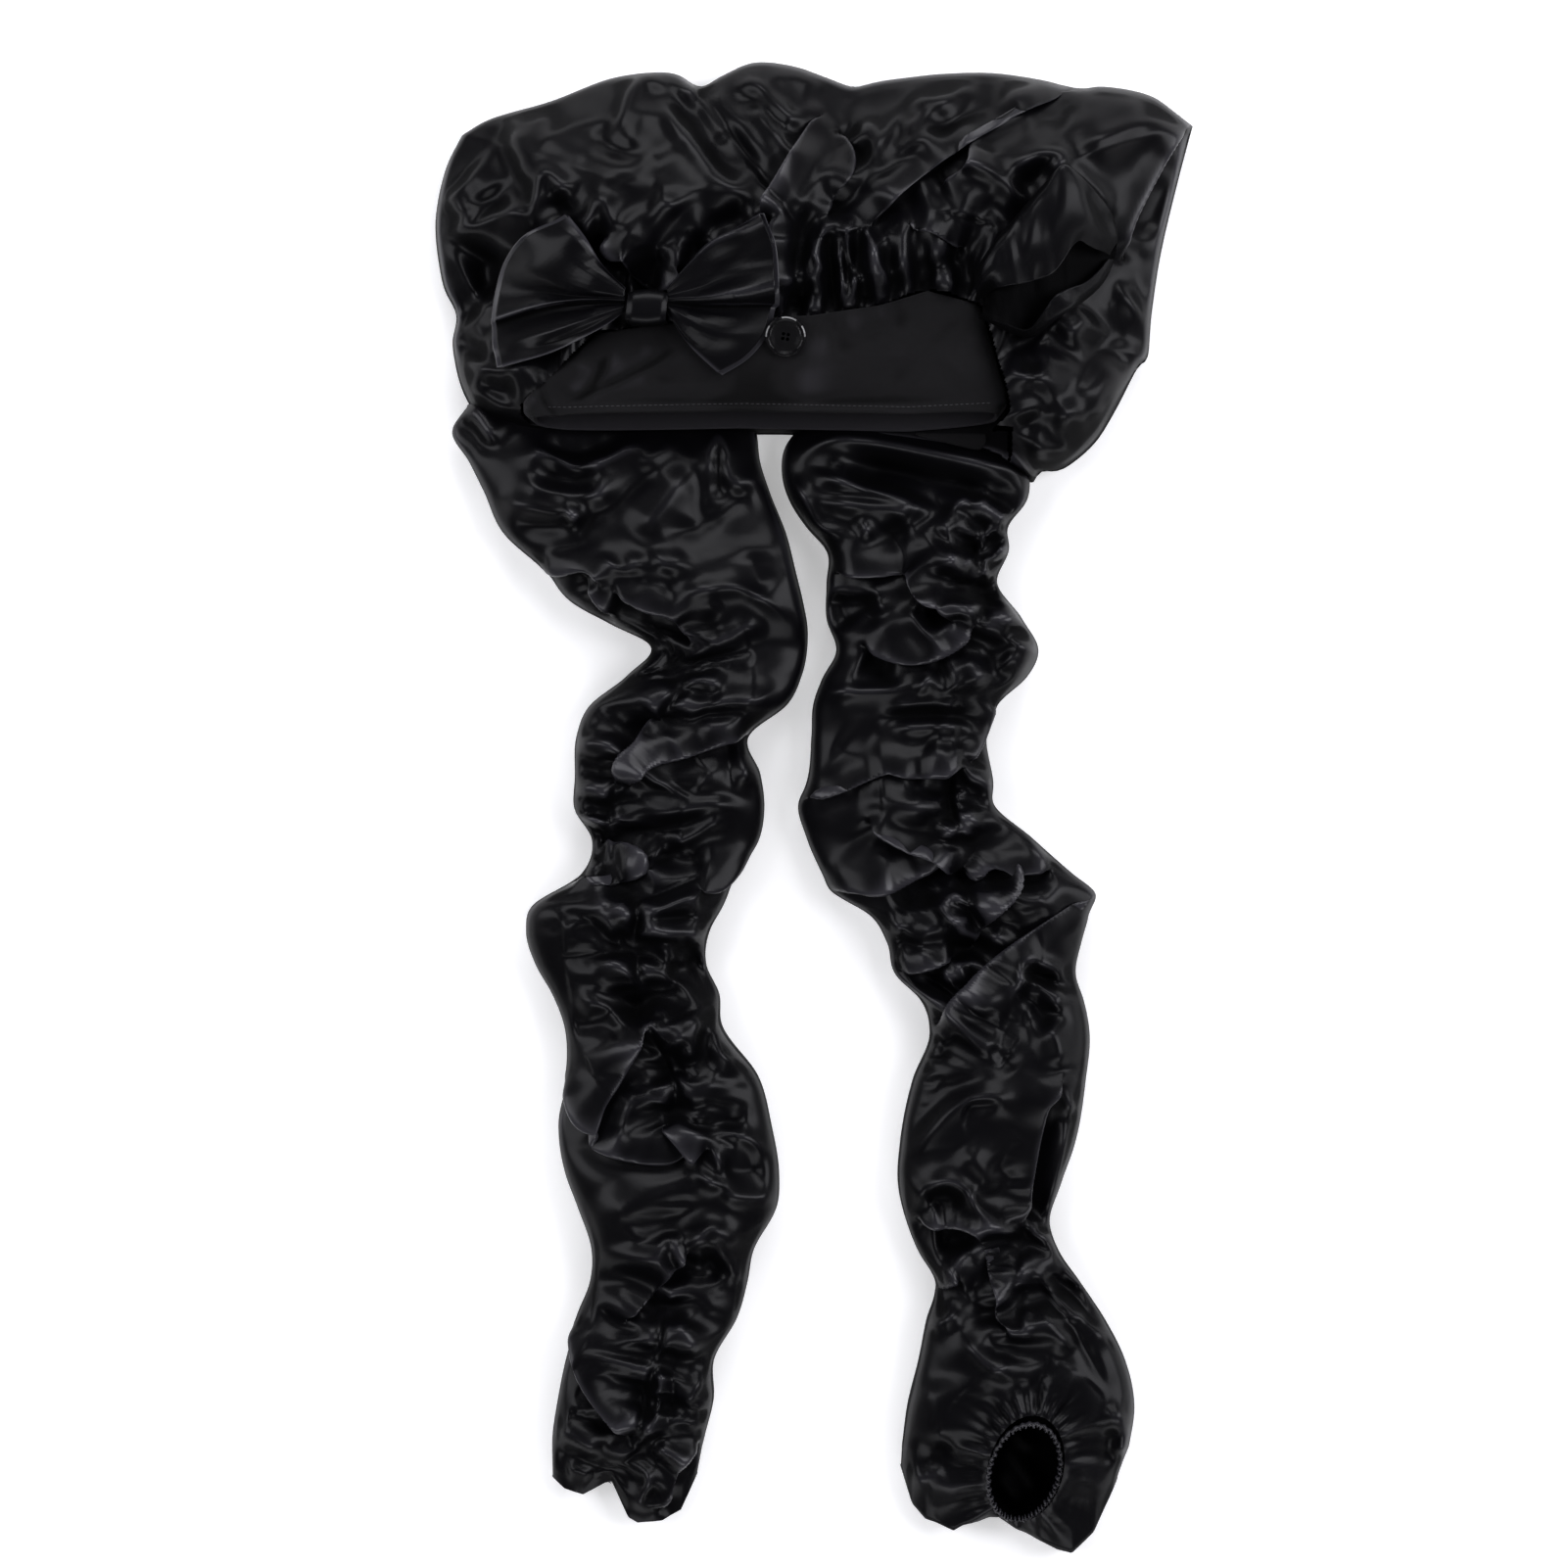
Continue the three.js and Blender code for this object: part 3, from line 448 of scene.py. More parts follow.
def wire(tree, *links):
    """Links sockets. Each link is a node, its output, the next node and its input."""
    for source, output, target, socket in links:
        tree.links.new(source.outputs[output], target.inputs[socket])


def new_material(name, sockets):
    """A material whose Principled shader has these sockets set, and that shader."""
    material = bpy.data.materials.new(name)
    material.use_nodes = True
    surface = material.node_tree.nodes["Principled BSDF"]
    for socket, value in sockets.items():
        surface.inputs[socket].default_value = value
    return material, surface


def new_group(name, kind, inputs, outputs):
    """An empty node group with its named sockets, and its two end nodes."""
    tree = bpy.data.node_groups.new(name, kind)
    for label, socket_kind, value in inputs:
        socket = tree.interface.new_socket(name=label, in_out="INPUT", socket_type=socket_kind)
        if value is not None:
            socket.default_value = value
    for label, socket_kind in outputs:
        tree.interface.new_socket(name=label, in_out="OUTPUT", socket_type=socket_kind)
    return tree, tree.nodes.new("NodeGroupInput"), tree.nodes.new("NodeGroupOutput")


def ramp(add, start, stop, low=0.0, high=1.0):
    """A node that climbs smoothly from low at start to high at stop."""
    sockets = {"From Min": start, "From Max": stop, "To Min": low, "To Max": high}
    return add("ShaderNodeMapRange", sockets, interpolation_type="SMOOTHSTEP")


# %% [markdown]
# ## Fine wrinkles and threads
# Close up, both cloths have small wrinkles and threads. Modelling them would take far too many faces, so a
# bump does it. The wrinkles read Object coordinates, and the threads read the UV map, so that they follow the
# cloth through its folds.

# %% Fine wrinkles, shared by all cloth
wrinkle_tree, enter, leave = new_group(
    "fine wrinkles", "ShaderNodeTree",
    [("Vector", VECTOR, None), ("Wrinkles per metre", FLOAT, 90.0), ("Threads per metre", FLOAT, 2600.0),
     ("Thread share", FLOAT, 0.15)],
    [("Height", FLOAT), ("Mottle", FLOAT)],
)
add = adder(wrinkle_tree)
crease = add("ShaderNodeTexNoise", {"Detail": 4.0, "Roughness": 0.55}, noise_dimensions="3D")
patch = add("ShaderNodeTexNoise", {"Scale": 22.0, "Detail": 3.0})
flat_cloth = add("ShaderNodeUVMap", uv_map="UVMap")
thread = add("ShaderNodeTexWave", {"Distortion": 0.4}, wave_type="BANDS", bands_direction="DIAGONAL")
both = add("ShaderNodeMix", data_type="FLOAT")
wire(
    wrinkle_tree,
    (enter, "Vector", crease, "Vector"), (enter, "Wrinkles per metre", crease, "Scale"),
    (enter, "Vector", patch, "Vector"), (flat_cloth, "UV", thread, "Vector"),
    (enter, "Threads per metre", thread, "Scale"), (enter, "Thread share", both, "Factor"),
    (crease, "Fac", both, "A"), (thread, "Fac", both, "B"),
    (both, "Result", leave, "Height"), (patch, "Fac", leave, "Mottle"),
)
print("group:", wrinkle_tree.name, len(wrinkle_tree.nodes), "nodes")

# %% [markdown]
# ## Painted light and shade of folds
# This group turns the attribute into painted highlight and shade. A crest gets a lighter colour, its painted
# highlight, and all of the gloss, flat cloth about a quarter of it, and a hollow none, with a near black
# colour, its painted shade, and a duller surface. Tones painted into an image would do as well, but they
# would have to be painted again after each change of a fold.

# %% Painted highlight on crests and painted shade in hollows, shared by all cloth
CREST_FROM, CREST_TO = 0.56, 0.98
HOLLOW_FROM, HOLLOW_TO = 0.47, 0.08
FLAT_GLOSS = 0.28
HOLLOW_DULLNESS = 0.3
# The near black colour of the painted shade in hollows:
HOLLOW_SHADE_COLOUR = (0.0004, 0.0004, 0.0005, 1)
fold_light_tree, enter, leave = new_group(
    "fold light and shade", "ShaderNodeTree",
    [("Colour", COLOUR, None), ("Highlight colour", COLOUR, None), ("Roughness", FLOAT, 0.35),
     ("Hollow shade", FLOAT, 0.8)],
    [("Colour", COLOUR), ("Roughness", FLOAT), ("Gloss", FLOAT)],
)
add = adder(fold_light_tree)
fold = add("ShaderNodeAttribute", attribute_name="fold", attribute_type="GEOMETRY")
crest = ramp(add, CREST_FROM, CREST_TO)
hollow = ramp(add, HOLLOW_TO, HOLLOW_FROM, 1.0, 0.0)
# Nodes for the painted shade in hollows and the painted highlight on crests, in colour and in gloss:
hollow_shade_amount = add("ShaderNodeMath", operation="MULTIPLY")
shade_mix = add("ShaderNodeMix", data_type="RGBA")
shade_mix.inputs["B"].default_value = HOLLOW_SHADE_COLOUR
highlight_mix = add("ShaderNodeMix", data_type="RGBA")
glossier = add("ShaderNodeMath", {1: 1 - FLAT_GLOSS, 2: FLAT_GLOSS}, operation="MULTIPLY_ADD")
shaded = add("ShaderNodeMath", operation="SUBTRACT", use_clamp=True)
duller = add("ShaderNodeMath", {1: HOLLOW_DULLNESS}, operation="MULTIPLY_ADD")
wire(
    fold_light_tree,
    (fold, "Fac", crest, "Value"), (fold, "Fac", hollow, "Value"),
    (hollow, "Result", hollow_shade_amount, 0), (enter, "Hollow shade", hollow_shade_amount, 1),
    (hollow_shade_amount, "Value", shade_mix, "Factor"), (enter, "Colour", shade_mix, "A"),
    (crest, "Result", highlight_mix, "Factor"), (shade_mix, "Result", highlight_mix, "A"),
    (enter, "Highlight colour", highlight_mix, "B"), (highlight_mix, "Result", leave, "Colour"),
    (crest, "Result", glossier, 0), (glossier, "Value", shaded, 0), (hollow_shade_amount, "Value", shaded, 1),
    (shaded, "Value", leave, "Gloss"),
    (hollow_shade_amount, "Value", duller, 0), (enter, "Roughness", duller, 2), (duller, "Value", leave, "Roughness"),
)
print("group:", fold_light_tree.name, len(fold_light_tree.nodes), "nodes")

# %% [markdown]
# ## Satin and jersey
# The bonnet is black, so almost all that one sees is gloss. Satin shines broadly on its ridges, and jersey is
# matte. A low roughness alone would make every small bump glitter. A rough base under a smoother coat keeps
# the flat parts black, and the coat's weight follows the folds, so hollows lose their gloss as painted shade.
# The colour also carries a painted highlight on crests and painted shade in hollows.

# %% A cloth material
def cloth_material(name, dark, light, crest, rough, bump, threads, thread_share, wrinkles, coated, shader):
    """A cloth: two close colours, its crest colour (a painted highlight), a roughness range, and how deep and
    fine its weave is.
    """
    material, surface = new_material(name, shader)
    tree = material.node_tree
    add = adder(tree)
    where = add("ShaderNodeTexCoord")
    fine = add("ShaderNodeGroup", node_tree=wrinkle_tree)
    for socket, value in (("Wrinkles per metre", wrinkles), ("Threads per metre", threads),
                          ("Thread share", thread_share)):
        fine.inputs[socket].default_value = value
    colour = add("ShaderNodeMix", data_type="RGBA")
    colour.inputs["A"].default_value, colour.inputs["B"].default_value = (*dark, 1), (*light, 1)
    tone = add("ShaderNodeGroup", node_tree=fold_light_tree)
    tone.inputs["Highlight colour"].default_value = (*crest, 1)
    wander = add("ShaderNodeMapRange", {"From Min": 0.3, "From Max": 0.7, "To Min": rough[0],
                                        "To Max": rough[1]})
    relief = add("ShaderNodeBump", {"Strength": bump, "Distance": MM})
    wire(
        tree,
        (where, "Object", fine, "Vector"), (fine, "Mottle", colour, "Factor"),
        (colour, "Result", tone, "Colour"), (tone, "Colour", surface, "Base Color"),
        (fine, "Mottle", wander, "Value"), (wander, "Result", tone, "Roughness"),
        (tone, "Roughness", surface, "Roughness"),
        (fine, "Height", relief, "Height"), (relief, "Normal", surface, "Normal"),
    )
    # On satin the coat's weight follows the painted highlight and shade of the folds:
    if coated:
        wire(tree, (tone, "Gloss", surface, "Coat Weight"))
    return material


# The crest colours below are painted highlights on crests.
satin = cloth_material(
    "black satin", dark=(0.0009, 0.0008, 0.0013), light=(0.0020, 0.0019, 0.0028),
    crest=(0.026, 0.0251, 0.0301), rough=(0.44, 0.52), bump=0.05, threads=2600.0, thread_share=0.12,
    wrinkles=320.0, coated=True,
    shader={"Specular IOR Level": 0.05, "Coat Roughness": 0.27, "Coat IOR": 1.38},
)
jersey = cloth_material(
    "black jersey", dark=(0.0022, 0.0020, 0.0026), light=(0.0036, 0.0033, 0.0041),
    crest=(0.016, 0.015, 0.018), rough=(0.72, 0.82), bump=0.45, threads=1300.0, thread_share=0.7,
    wrinkles=260.0, coated=False,
    shader={"Specular IOR Level": 0.18, "Sheen Weight": 0.02, "Sheen Roughness": 0.5},
)
print("materials:", satin.name, "and", jersey.name)

# %% [markdown]
# ## Sleeves
# Each sleeve is a long tube of satin that lies flat. It could be a curve with a bevel, but a bevel has one
# section all along. So the tables give its left side, right side and height row by row, as in the packed
# model, and its section is a flattened oval. The upper half has a point about every millimetre, to hold crisp
# folds, and the lower half, on the floor, is coarser.

# %% Sleeve sizes, in millimetres: y, left, right, height
LEFT_ROWS = [
    (214, -184, -34, 23), (200, -193, -29, 25), (184, -184, -27, 32), (168, -176, -22, 36),
    (145, -165, -13, 38), (125, -143, -8, 42), (108, -128, -4, 38), (96, -106, -2, 34), (87, -88, -2, 30),
    (70, -99, -5, 33), (54, -119, -13, 38), (38, -126, -33, 36), (17, -127, -27, 40), (-2, -127, -25, 34),
    (-18, -118, -28, 29), (-37, -125, -40, 34), (-53, -150, -47, 38), (-66, -153, -54, 36),
    (-84, -148, -56, 32), (-100, -139, -49, 31), (-115, -133, -48, 36), (-144, -132, -28, 35),
    (-170, -136, -21, 33), (-196, -132, -17, 38), (-212, -126, -18, 38), (-237, -118, -31, 34),
    (-253, -119, -34, 29), (-271, -126, -39, 32), (-295, -132, -52, 36), (-315, -136, -52, 34),
    (-336, -139, -57, 27), (-350, -139, -60, 21),
]
RIGHT_ROWS = [
    (204, -6, 98, 23), (192, -15, 110, 25), (178, -17, 116, 32), (163, -13, 115, 37), (149, -4, 105, 33),
    (136, 7, 105, 36), (119, 7, 99, 38), (100, 7, 112, 40), (82, 12, 121, 37), (69, 5, 115, 38),
    (55, 0, 100, 35), (38, -1, 94, 32), (12, -4, 97, 36), (2, -8, 97, 35), (-16, -4, 117, 32),
    (-37, 5, 141, 35), (-45, 9, 151, 36), (-58, 30, 148, 34), (-72, 39, 144, 31), (-90, 44, 141, 29),
    (-103, 57, 145, 34), (-120, 62, 148, 38), (-145, 53, 146, 41), (-180, 46, 140, 40), (-200, 45, 133, 37),
    (-222, 50, 127, 31), (-237, 56, 132, 30), (-253, 65, 143, 33), (-274, 60, 157, 37), (-294, 56, 167, 39),
    (-318, 50, 172, 38), (-341, 47, 169, 33),
]
# Where each sleeve ends, from its left side to its right side.
LEFT_END = [
    (-139, -357), (-132, -363), (-122, -366), (-110, -359.5), (-107, -358.5), (-103, -367), (-98, -378),
    (-93, -381), (-80, -380), (-70, -374.5), (-66, -366), (-61, -355),
]
RIGHT_END = [
    (46.5, -350), (53, -371), (60, -379), (66, -381), (75, -385), (80, -382), (89, -380), (94, -378),
    (99, -377.5), (104, -381), (109, -384), (120, -390), (130, -395), (138, -397), (150, -386), (163, -358),
]
SIDE_HEIGHT = 10.0  # of the tube's side line above the floor
ROUNDNESS = 0.72
END_HEIGHT = 15.0
END_LENGTH = 25.0  # over which the rows lean into the end's outline
ROW_STEP = 1.25
ACROSS, UNDER = 112, 48  # columns of its upper and its lower half
print("rows in the tables:", len(LEFT_ROWS), "and", len(RIGHT_ROWS))

# %% [markdown]
# Between two rows of the table the sides have to run smoothly, or the sleeve would show facets. A subdivision
# surface would smooth them and pull them inwards. A cubic through the rows keeps them where they are. Each
# point also gets its freedom to fold: all of it on top, and none along the sides and below.

# %% The tube before its folds
def closer_at_sides(u):
    """Positions from -1 to 1 that lie a little closer together at both ends."""
    return 0.8 * u + 0.2 * np.sin(u * math.pi / 2)


def tube(rows, end):
    """A flattened tube: its points row by row, how freely each may fold, the grid size and its UV map."""
    rows = np.array(rows, float)[::-1]
    y = np.arange(rows[-1, 0], rows[0, 0], -ROW_STEP)
    slopes = np.gradient(rows, rows[:, 0], axis=0)
    k = np.clip(np.searchsorted(rows[:, 0], y) - 1, 0, len(rows) - 2)
    span = rows[k + 1, 0] - rows[k, 0]
    t = ((y - rows[k, 0]) / span)[:, None]
    span = span[:, None]
    left, right, height = ((2 * t**3 - 3 * t**2 + 1) * rows[k] + (t**3 - 2 * t**2 + t) * span * slopes[k]
                           + (3 * t**2 - 2 * t**3) * rows[k + 1] + (t**3 - t**2) * span * slopes[k + 1]).T[1:]
    last = int(END_LENGTH / ROW_STEP)
    share = np.arange(1, last + 1) / last
    y = np.concatenate([y, np.full(last, y[-1])])
    share = np.concatenate([np.zeros(len(left)), share])
    pad = lambda v, to: np.concatenate([v, v[-1] + (to - v[-1]) * share[len(v):]])
    end = np.array(end, float)
    left, right, height = pad(left, end[0, 0]), pad(right, end[-1, 0]), pad(height, END_HEIGHT)
    u = closer_at_sides(np.linspace(-1, 1, ACROSS + 1))
    low = closer_at_sides(np.linspace(1, -1, UNDER + 1)[1:-1])
    around = np.concatenate([u, low])
    upper = np.concatenate([np.ones(len(u)), np.zeros(len(low))])
    rise = np.clip(1 - np.abs(around) ** (2 / ROUNDNESS), 0, 1) ** (ROUNDNESS / 2)
    x = (left + right)[:, None] / 2 + (right - left)[:, None] / 2 * around
    side = np.minimum(SIDE_HEIGHT, height / 2)[:, None]
    z = np.where(upper > 0, side + (height[:, None] - side) * rise, side * (1 - rise))
    y = y[:, None] + share[:, None] * (np.interp(x, end[:, 0], end[:, 1]) - y[:, None])
    points = np.stack([x, y, z], 2)
    free = np.broadcast_to(upper * ease(rise / 0.75), x.shape)
    hop = np.linalg.norm(np.diff(np.concatenate([points, points[:, :1]], 1), axis=1), axis=2)
    uv = np.zeros((*x.shape[:1], x.shape[1] + 1, 2))
    uv[:, 1:, 0] = np.cumsum(hop, 1)
    uv[:, :, 0] -= uv[:, ACROSS // 2, 0][:, None]
    uv[:, :, 1] = np.concatenate([[0], np.cumsum(np.abs(np.diff(points[:, ACROSS // 2, 1])))])[:, None]
    return points.reshape(-1, 3), free.ravel().copy(), x.shape, uv * MM


def grid_uv(uv, quads_rows, quads_columns):
    """The UV pair of each corner of each quad of a closed grid, from one column more than the grid has."""
    i, j = np.meshgrid(np.arange(quads_rows), np.arange(quads_columns), indexing="ij")
    return np.stack([uv[i, j], uv[i + 1, j], uv[i + 1, j + 1], uv[i, j + 1]], 2).reshape(-1, 2)


left_points, left_free, left_shape, left_uv = tube(LEFT_ROWS, LEFT_END)
right_points, right_free, right_shape, right_uv = tube(RIGHT_ROWS, RIGHT_END)
print("sleeve grids:", left_shape, right_shape)

# %% [markdown]
# ## The left sleeve's folds
# The sleeve is ruched along a sewn line, so it bends at a knee, and soft pleats run out from the line. Noise
# could rumple it, but not like this one sleeve. So its folds are listed from top to end: height, width, x and
# y of the start, and the step to each next point, so that a fold is moved by its start alone. A negative
# height is a hollow.

# %% Folds of the left sleeve, down to its knee
LEFT_RIDGES = [
    (6, 5, -188, 215, 10, -8, 12, -17), (-6, 4, -190, 208, 10, -8, 10, -14),
    (5, 3.6, -156, 178, 6, 7, 7, 2, 8, -3, 7, -4, 5, -1, 13, 4, 15, 7, 19, 8),
    (-6, 4, -146, 193, 12, -4, 10, -2, 12, 3, 12, 6), (-8, 8, -148, 176, 20, -3, 16, 1),
    (3.5, 3, -154, 178, 6, -8, 10, -4, 18, -2, 7, 1, 3, 5, 3, 11), (3, 5, -92, 176, 12, 12, 10, 9),
    (-4.5, 2.2, -72, 188, -11, -10, -12, -10, -10, -10, -8, -4, -5, -5, -2, -6, -4, -5, -28, -5),
    (4, 5, -168, 162, 18, -4, 20, -3, 12, 3), (-4, 4, -160, 150, 20, -2, 16, 2),
    (4.5, 3.4, -131, 152, 5, 1, 5, -3), (3.5, 3, -113, 134, 6, -6, 8, -4, 7, 6, 4, 4),
    (-4, 3, -104, 118, 8, 2, 10, -2), (5, 4, -53, 160, 0, 28, 3, 8, 4, -8, -1, -28),
    (-6, 2.4, -50, 192, 0, -14, 1, -18), (4, 7, -64, 181, -9, -15, -13, -16, -10, -8),
    (-5, 4, -60, 182, 0, -22, 0, -12, -20, -4), (-4, 2.5, -31, 168, -14, -10, -15, -12),
    (3, 4, -24, 172, -12, 0, -8, -6), (3, 4, -84, 138, 8, -13, 8, 11), (-3.5, 2.5, -78, 128, 3, -13, 4, -8),
    (5, 4, -75, 106, 10, 6, 10, 2, 15, 1, 10, -4, 10, -6, 8, -9), (-5, 5, -66, 104, 11, -8, 7, -2),
    (4, 3.5, -63, 88, 3, 10, 5, 6, 9, 3), (4.5, 4, -62, 78, 10, 9, 7, 2, 10, 5, 13, 1),
    (4, 8, -26, 158, 13, -18, 4, -20, 3, -20, -2, -18), (-4, 6, -34, 136, 4, -14, 6, -10),
]
print("folds:", len(LEFT_RIDGES))

# %% Folds of the left sleeve, from its knee to its middle
LEFT_RIDGES += [
    (4, 4, -72, 63, 7, 3, 10, -1, 9, -4), (-6, 3.4, -66, 58, 10, 1, 8, -3),
    (4, 5, -16, 63, -14, -7, -15, -1, -10, -1, -7, -4, -6, -5), (-6, 3.4, -64, 49, 16, -0.5, 16, 1.5),
    (3.5, 3, -62, 44, 12, -1, 14, 3), (4.5, 4, -127, 27, 7, 6, 8, 0, 7, -3, 4, -5),
    (-5, 4, -126, 20, 11, -3, 11, -9), (4, 3.2, -129, 8, 11, 1, 15, -6), (-5, 3, -122, 1, 10, -1, 9, -5),
    (3.5, 3, -126, -4, 12, -4, 13, -7), (-4, 4, -93, 5, 8, 4, 10, 1, 20, -4, 10, 1, 19, -5),
    (4, 4, -93, -3, 18, 0, 15, 3, 8, 2, 18, -5), (-5, 3, -45, 36, 1, -14, 1, -14),
    (3, 4, -38, 34, 2, -12, 2, -12), (-5, 3.4, -100, -14, 15, 1, 15, 3, 20, 6),
    (4, 3, -78, -21, 13, 5, 10, 6, 13, 5), (-8, 7, -88, -26, 18, -2, 16, -2),
    (-5, 2.4, -114, -22, 2, -8, 5, -8), (4, 5, -135, -43, 15, 3, 7, -3, 3, -9, 6, -16, 6, -10),
    (-5, 4, -122, -56, 10, -9, 12, -13), (3.5, 2.6, -106, -48, 7, -4, 6, -10),
    (5, 4, -93, -54, 13, 0, 10, 4, 10, 2, 8, -2), (-5, 3, -86, -61, 14, 2, 12, 2),
    (5, 3.6, -97, -74, 7, 7, 7, 2, 20, -3, 7, 1, 6, 6), (-8, 7, -78, -84, 12, 0, 10, 4),
    (4, 4, -84, -78, 8, 2, 4, -6, 8, 4), (4, 4.5, -95, -81, 15, -7, 10, -7, 10, -10, 7, -8),
    (4.5, 3.6, -118, -85, 13, 2, 8, -4, 5, -8, 5, -9), (-6, 4, -106, -95, 11, -12, 9, -7),
    (4, 4, -128, -104, 16, 0, 16, -12), (-4, 4, -130, -118, 18, 2, 14, -8),
    (3.5, 3, -88, -104, 8, -3, 5, -6), (5, 3, -90, -114, 4, -3, 4, 3), (4, 3, -85, -118, 20, 6, 10, -4),
    (4, 3, -82, -136, 9, 11, 9, 11), (4, 3.4, -60, -110, -3, -15, -3, -12),
    (4, 4, -47, -110, -3, -15, 5, -8, 7, 7), (-5, 3, -55, -114, -2, -12, 1, -14),
    (-5, 3, -74, -120, -2, -14, -10, -14), (3, 10, -50, -140, -8, -12, -12, -8),
]
print("folds:", len(LEFT_RIDGES))

# %% Folds of the left sleeve, from its middle to its end
LEFT_RIDGES += [
    (4, 3.4, -96, -148, -2, -12, -4, -12, -9, -8), (3.5, 3, -76, -167, 11, 3, 22, -3),
    (-5, 2.6, -62, -168, 14, 1, 14, 1), (4, 3, -78, -168, 18, -4, 20, -1, 10, -5, 10, -8),
    (4.5, 3, -61, -176, 9, -6, 5, -10, 1, -7, -10, 3, -9, 9), (-6, 6, -52, -190, 14, -3, 14, 3),
    (4, 4, -50, -201, 8, -4, 26, -2), (3, 14, -110, -200, 15, -25, -5, -25),
    (-3, 14, -80, -200, 8, -15, -4, -17), (4.5, 4, -68, -236, 6, 8, 7, 6, 5, -1, 15, -12),
    (4, 4, -67, -237, 12, 8, 5, -4, 8, -12, 8, -13), (-6, 3.4, -60, -238, 6, -2, 4, -12),
    (-5, 3, -115, -263, 10, -11, 7, -2, 14, -5), (6, 4, -85, -250, 7, -6, 2, -8),
    (4, 4, -78, -260, 0, -20, -4, -10, -9, -8), (5, 4, -73, -266, 8, -14, 6, -10),
    (-8, 6, -74, -282, 0, -23, -2, -27), (-6, 4, -90, -298, 0, -14, 2, -16),
    (4.5, 3.6, -84, -290, 4, -10, -2, -15, -4, -13, -10, -12),
    (4, 4, -54, -296, -8, -12, -4, -9, 9, -1, 7, -5), (5, 6, -84, -337, 10, -5, 9, -6),
    (5, 3, -102, -352, 10, 2, 5, -4, -1, -8, -4, -6, 6, -3, 7, 6, 5, 8, 5, 8),
    (4, 5, -138, -328, 18, -9, 10, -6), (-4, 4, -138, -340, 14, -6, 14, -6),
    (3, 4, -132, -352, 8, 0, 8, -4), (-5, 3, -84, -360, 2, -10, 4, -6),
]
print("folds:", len(LEFT_RIDGES))

# %% [markdown]
# A lap is listed with how far it reaches over, its rise, its width and its line, and the cloth on the left of
# the line lies on top. A second layer would do it too, but it has loose edges to hide. A gather needs only
# its line.

# %% Laps and gathers of the left sleeve
LEFT_LAPS = [
    (5, 2.6, 2.6, -146, 126, 11, -3, 10, 2, 7, 0, 5, -5, 1, -6), (4, 2.2, 2.4, -121, 122, 6, -12, 9, -10),
    (8, 4.0, 3.0, -106, 113, 11, -3, 7, -4, 8, -2, 7, -2, 5, -4, 3, -6, -1, -8),
    (7, 3.2, 3.0, -99, 8, 6, 8, 5, 6, 8, 4, 10, 2, 15, 5, 10, 3, 15, 3),
    (6, 3.0, 2.8, -78, 49, -7, -7, -7, -9, -7, -6, -4, -5, -1, -11), (5, 2.6, 2.6, -86, -30, -8, 6, -20, 5),
    (5, 2.4, 2.6, -128, -39, 23, 1, 21, 5), (4, 2.2, 2.4, -62, -43, 12, -1, 12, 9, 11, 7),
    (8, 3.6, 3.0, -112, -180, -2, 19, 9, 16, 10, 17, 9, 12),
    (7, 3.0, 3.0, -134, -138, 9, -27, 7, -8, 8, -7, 10, -3, 15, -2, 15, 1, 20, 5),
    (5, 2.4, 2.6, -80, -167, 10, -10, 10, -6), (7, 3.4, 3.0, -100, -274, 5, 9, 15, 17, 16, 15),
    (7, 3.2, 2.8, -128, -270, 2, -15, 4, -15, 9, -15, 10, -12, 9, -10),
    (5, 2.6, 2.4, -84, -375, 7, 8, 1, 7, 3, 8, 5, 5, 9, 11),
]
LEFT_GATHERS = [
    (-74, 90, 5, -26, -17, -24, -15, -22, -7, -35, 15, -38, -1, -16, 3, -26, 4, -19),
    (-87, -114, 15, -35, -5, -17), (-76, -232, -2, -30, -6, -38, -10, -38),
]
print("laps, gathers:", len(LEFT_LAPS), len(LEFT_GATHERS))

# %% [markdown]
# Both sleeves are folded in the same way, so one function does it. The ridges are smoothed before the laps,
# so that only the laps stay crisp. Gathers and wide waves follow, and buckling comes last, because it needs
# the drawn folds to start from.

# %% Fold, gather and smooth a sleeve
SLEEVE_UP, SLEEVE_DOWN, SLEEVE_RISE = 1.68, 1.12, 1.4  # the lifts of ridges, tucks and laps
FLOOR_CLEARANCE = 0.3
CLOTH_ROOM = 3.0  # the least distance between a tube's upper and lower layer
# The painted highlight on a turned edge:
RIM_HIGHLIGHT = 0.85


def fold_sleeve(points, free, shape, ridges, laps, gathers, seed):
    cloth = Cloth(points, free)
    rng = np.random.default_rng(seed)
    for height, width, *path in ridges:
        cloth.ridge(path, (SLEEVE_UP if height > 0 else SLEEVE_DOWN) * height, width)
    cloth.move = relax(cloth.move, *shape, 5, closed=True)
    for over, rise, width, *path in laps:
        cloth.lap(path, over, SLEEVE_RISE * rise, width)
    for path in gathers:
        cloth.gather(path, rng, height=2.0, reach=15, pleat=6.5, depth=4.5)
    cloth.move[:, 2] += 1.2 * free * waves(cloth.base[:, :2], 55, seed)
    extra = extra_length(cloth.base, gathers, 0, most=0.4, reach=11, everywhere=(0.008, 0.0))
    drawn = relax(cloth.points(), *shape, 1, closed=True)
    cloth.move = buckle(drawn, stitched(cloth.base, free, gathers), shape, extra, closed=True) - cloth.base
    return cloth


def turned_edge_highlight(free):
    """The painted highlight of a turned edge: none along the sides, where the cloth can't fold."""
    return RIM_HIGHLIGHT * ease((free - 0.5) / 0.3)


